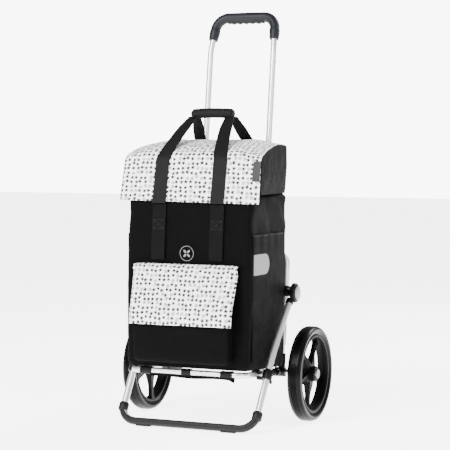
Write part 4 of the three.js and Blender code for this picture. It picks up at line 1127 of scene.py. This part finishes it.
def stitches(name, side):
    """The boxed cross of thread that holds a band under the lid."""
    pieces = []
    low, high, reach = 512, 534, 14

    def thread(x0, z0, x1, z1):
        count = 7
        for i in range(count):
            a, b = (i + 0.12) / count, (i + 0.80) / count
            ends = []
            for share in (a, b):
                x, z = lerp(x0, x1, share), lerp(z0, z1, share)
                y = along([(470, -264), (515, -260), (560, -256.2)], z) - 2.9
                ends.append(at(side * 81 + x, y, z))
            pieces.append(sweep("stitch", straight(*ends), ring(0.42, 6), Vector((0, 1, 0))))

    thread(-reach, low, reach, low)
    thread(-reach, high, reach, high)
    thread(-reach, low, -reach, high)
    thread(reach, low, reach, high)
    thread(-reach, low, reach, high)
    thread(-reach, high, reach, low)
    fit(smooth(join("box_stitch_" + name, pieces)), "chassis", "thread")


POCKET_FRONT = [(172, -296), (178, -303), (200, -307), (262, -314), (290, -312), (350, -295), (395, -280)]


def pocket():
    rows = []
    heights = [173, 176, 181] + [181 + 211 * i / 40 for i in range(1, 41)] + [395]
    for z in heights:
        front = along(POCKET_FRONT, z)
        shrink = 0.93 if z in (173, 395) else 0.985 if z == 176 else 1.0
        row = []
        for i in range(97):
            a = 2 * math.pi * (i % 96) / 96
            c, s = math.cos(a), math.sin(a)
            power = 0.22
            u = math.copysign(abs(c) ** power, c)
            v = math.copysign(abs(s) ** power, s)
            x = 134 * u * shrink
            y = lerp(-267, front, (1 - v) / 2)
            bellows = 5.5 * (1 - v * v) * between(abs(u), 0.97, 1.0)
            bulge = 1.6 * ripple((x, y, z), 50, 9) + 0.7 * ripple((x, y, z), 20, 10)
            row.append(at(x - math.copysign(bellows, u), y + (bulge if v < -0.5 else 0), z))
        rows.append(row)
    piece = lay("pocket_cloth", rows, around=True, ends=True)
    fit(smooth(piece, 50), "chassis", "black_fabric", "pocket_body")

    profile = [(-266.6, 421), (-270, 420.8), (-275, 418.5), (-280, 413), (-285, 405), (-301, 355),
               (-318, 300), (-321.5, 271)]
    rows = []
    for y, z in spline(profile, 44):
        row = []
        for k in range(65):
            s = lerp(-1, 1, k / 64)
            half = 141 * (1 + 0.03 * between(z, 300, 421))
            edge = between(abs(s), 0.9, 1.0)
            lift = 1.1 * ripple((s * half, y, z), 45, 11) + 0.4 * ripple((s * half, y, z), 18, 12)
            hem = 1.5 * math.sin(s * 9) * (1 - between(z, 271, 300))
            row.append(at(s * half, y + lift + hem * 0.5 + 14 * edge * edge * between(421 - z, 2, 20),
                          z - 1.5 * edge))
        rows.append(row)
    flap = lay("flap_print", rows)
    modify(flap, "SOLIDIFY", thickness=1.5 * MM, offset=-1)
    edit(flap, outwards)
    fit(smooth(flap, 50), "pocket_flap", "printed_fabric", "pocket_flap")
    lined = [[point + Vector((0, 1.9 * MM, 0)) for point in row[2:-2]] for row in rows[6:-1]]
    lining = lay("flap_lining", lined)
    modify(lining, "SOLIDIFY", thickness=0.4 * MM, offset=0)
    edit(lining, outwards)
    fit(smooth(lining, 50), "pocket_flap", "neck_fabric")
    pieces = []
    for s in (0, 64):
        line = [row[s] for row in rows]
        stations = [(p, (line[min(len(line) - 1, i + 1)] - line[max(0, i - 1)]).normalized()) for i,
                    p in enumerate(line)]
        pieces.append(sweep("flap_piping", stations, ring(1.6, 10), Vector((1, 0, 0))))
    stations = [(p, Vector((1, 0, 0))) for p in rows[-1]]
    pieces.append(sweep("flap_binding", stations, [(a, b + 2) for a, b in ring(1.3, 12, 1, 3)],
                        Vector((0, 1, 0))))
    fit(smooth(join("flap_edges", pieces), 50), "pocket_flap", "black_fabric")


def side_pocket(name, side):
    rows = []
    heights = [178 + 316 * i / 56 for i in range(57)]
    for z in heights:
        depth = lerp(1.4, 2.8, between(z, 178, 494) ** 2)
        y0, y1 = -246, bag_back(z) - 32
        row = []
        for k in range(45):
            share = k / 44
            y = lerp(y0, y1, share)
            taper = math.sin(math.pi * min(1, max(0, share))) ** 0.35
            push = 1.3 * ripple((0, y, z), 60, 13) + 0.6 * ripple((0, y, z), 22, 14)
            pleat = 0.8 * math.sin(share * 26) * between(z, 380, 494)
            x = bag_half(y, z) + 1.2 + (depth + push + pleat) * taper
            row.append(at(side * x, y, z))
        rows.append(row)
    piece = lay("side_pocket_cloth_" + name, rows)
    modify(piece, "SOLIDIFY", thickness=1.3 * MM, offset=side)
    edit(piece, outwards)
    fit(smooth(piece, 50), "chassis", "black_fabric", "side_pocket_" + name)

    hem = rows[-1]
    stations = [(p, (hem[min(44, i + 1)] - hem[max(0, i - 1)]).normalized()) for i, p in enumerate(hem)]
    band = sweep("pocket_hem_" + name, stations, ring(0.9, 12, 1, 5), Vector((1, 0, 0)))
    fit(smooth(band), "chassis", "black_webbing")

    tab = []
    for i in range(33):
        share = i / 32
        y = lerp(-244, -138, share)
        round_end = math.sqrt(max(0.0, 1 - max(0.0, (y + 166) / 28) ** 2))
        row = []
        for k in range(13):
            z = 423 + 28 * lerp(-1, 1, k / 12) * max(0.04, round_end)
            j = min(56, max(0, round((z - 178) / 316 * 56)))
            near = min(range(45), key=lambda q: abs(rows[j][q].y - at(0, y, 0).y))
            row.append(at(side * (abs(rows[j][near].x) / MM + 1.2), y, z))
        tab.append(row)
    piece = lay("pull_tab_" + name, tab)
    activate(piece)
    bpy.ops.object.modifier_add(type="SMOOTH")
    piece.modifiers[-1].iterations = 6
    bpy.ops.object.modifier_apply(modifier=piece.modifiers[-1].name)
    modify(piece, "SOLIDIFY", thickness=1.0 * MM, offset=0)
    edit(piece, outwards)
    fit(smooth(piece, 50), "chassis", "pale_tape", "side_tab_" + name)


def badge():
    """A thin ring with four petals, on the bag's front."""
    centre = at(0, -264.6, 449.7)
    pieces = []
    deselect()
    bpy.ops.mesh.primitive_torus_add(major_radius=0.0187, minor_radius=0.0007, major_segments=64,
                                     minor_segments=12,
                                     location=centre, rotation=(math.pi / 2, 0, 0))
    pieces.append(named("badge_ring"))
    for i in range(4):
        angle = math.pi / 2 * i
        deselect()
        bpy.ops.mesh.primitive_uv_sphere_add(segments=24, ring_count=12, radius=1)
        petal = named("badge_petal")
        petal.data.transform(Matrix.Diagonal((0.0028, 0.0007, 0.0050, 1)))
        petal.data.transform(Matrix.Translation((0, 0, 0.0072)))
        petal.data.transform(Matrix.Rotation(angle + math.pi / 4, 4, "Y"))
        petal.data.transform(Matrix.Translation(centre))
        pieces.append(petal)
    piece = smooth(join("badge_mark", pieces))
    fit(piece, "chassis", "pale_tape", "badge")


def apron():
    """The strip of cloth that hangs under the platform's front bar, with a pull tab at its end."""
    rows = []
    for i in range(9):
        row = []
        for k in range(61):
            low = 132.5 + 1.6 * math.sin(k / 6) - 5 * between(k, 55, 60)
            row.append(at(lerp(-100, 136, k / 60), -266 - 4 * i / 8 - 1.2 * math.sin(k / 5) * i / 8,
                          lerp(141, low, i / 8)))
        rows.append(row)
    piece = lay("apron_cloth", rows)
    modify(piece, "SOLIDIFY", thickness=1.2 * MM, offset=0)
    edit(piece, outwards)
    fit(smooth(piece, 50), "platform", "black_fabric")


# ---------------------------------------------------------------- putting it together

camera()
stage()
rear_frame()
handle()
grip()
stand()
platform()
for name, side in SIDES.items():
    guide_tube(name, side)
    wheel(name, side)
    knob(name, side)
    saddle(name, side)
for node, body, look in (
    ("axle", "chassis", "zinc_steel"), ("base_board", "platform", "black_plastic"),
    ("upper_yoke", "chassis", "black_plastic"), ("lower_yoke", "chassis", "black_plastic"),
):
    refined(node, body, look)
for name in SIDES:
    refined("axle_bracket_" + name, "chassis", "black_plastic", 1.0)
    refined("knob_bracket_" + name, "chassis", "black_plastic", 0.8)
    refined("guide_collar_" + name, "chassis", "black_plastic", 0.8)
    refined("platform_bolt_" + name, "chassis", "black_plastic", 0.5)
    refined("platform_end_" + name, "platform", "black_plastic", 0.8)
    refined("knob_button_" + name, "knob_button_" + name, "silver_plastic", 1.6)
    refined("handle_release_" + name, "handle_release_" + name, "silver_plastic", 0.5)
    refined("bearing_" + name, "wheel_" + name, "zinc_steel", 0.6)
bag()
lid()
straps()
pocket()
for name, side in SIDES.items():
    side_pocket(name, side)
badge()
apron()

# On the real trolley the bag, all that is sewn on it and the neck gather towards the lid's hem when the
# platform folds away under it; here these pieces are only given their own copies of their meshes.
GATHERING = ("bag_cloth", "side_pocket_", "pocket_", "pull_tab_", "chest_band_", "box_stitch_", "badge_mark",
             "flap_print", "flap_edges", "flap_lining")
for piece in list(bpy.context.scene.objects):
    if piece.name.startswith(GATHERING) and piece.type == "MESH" and piece.name not in frame["nodes"]:
        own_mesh(piece)
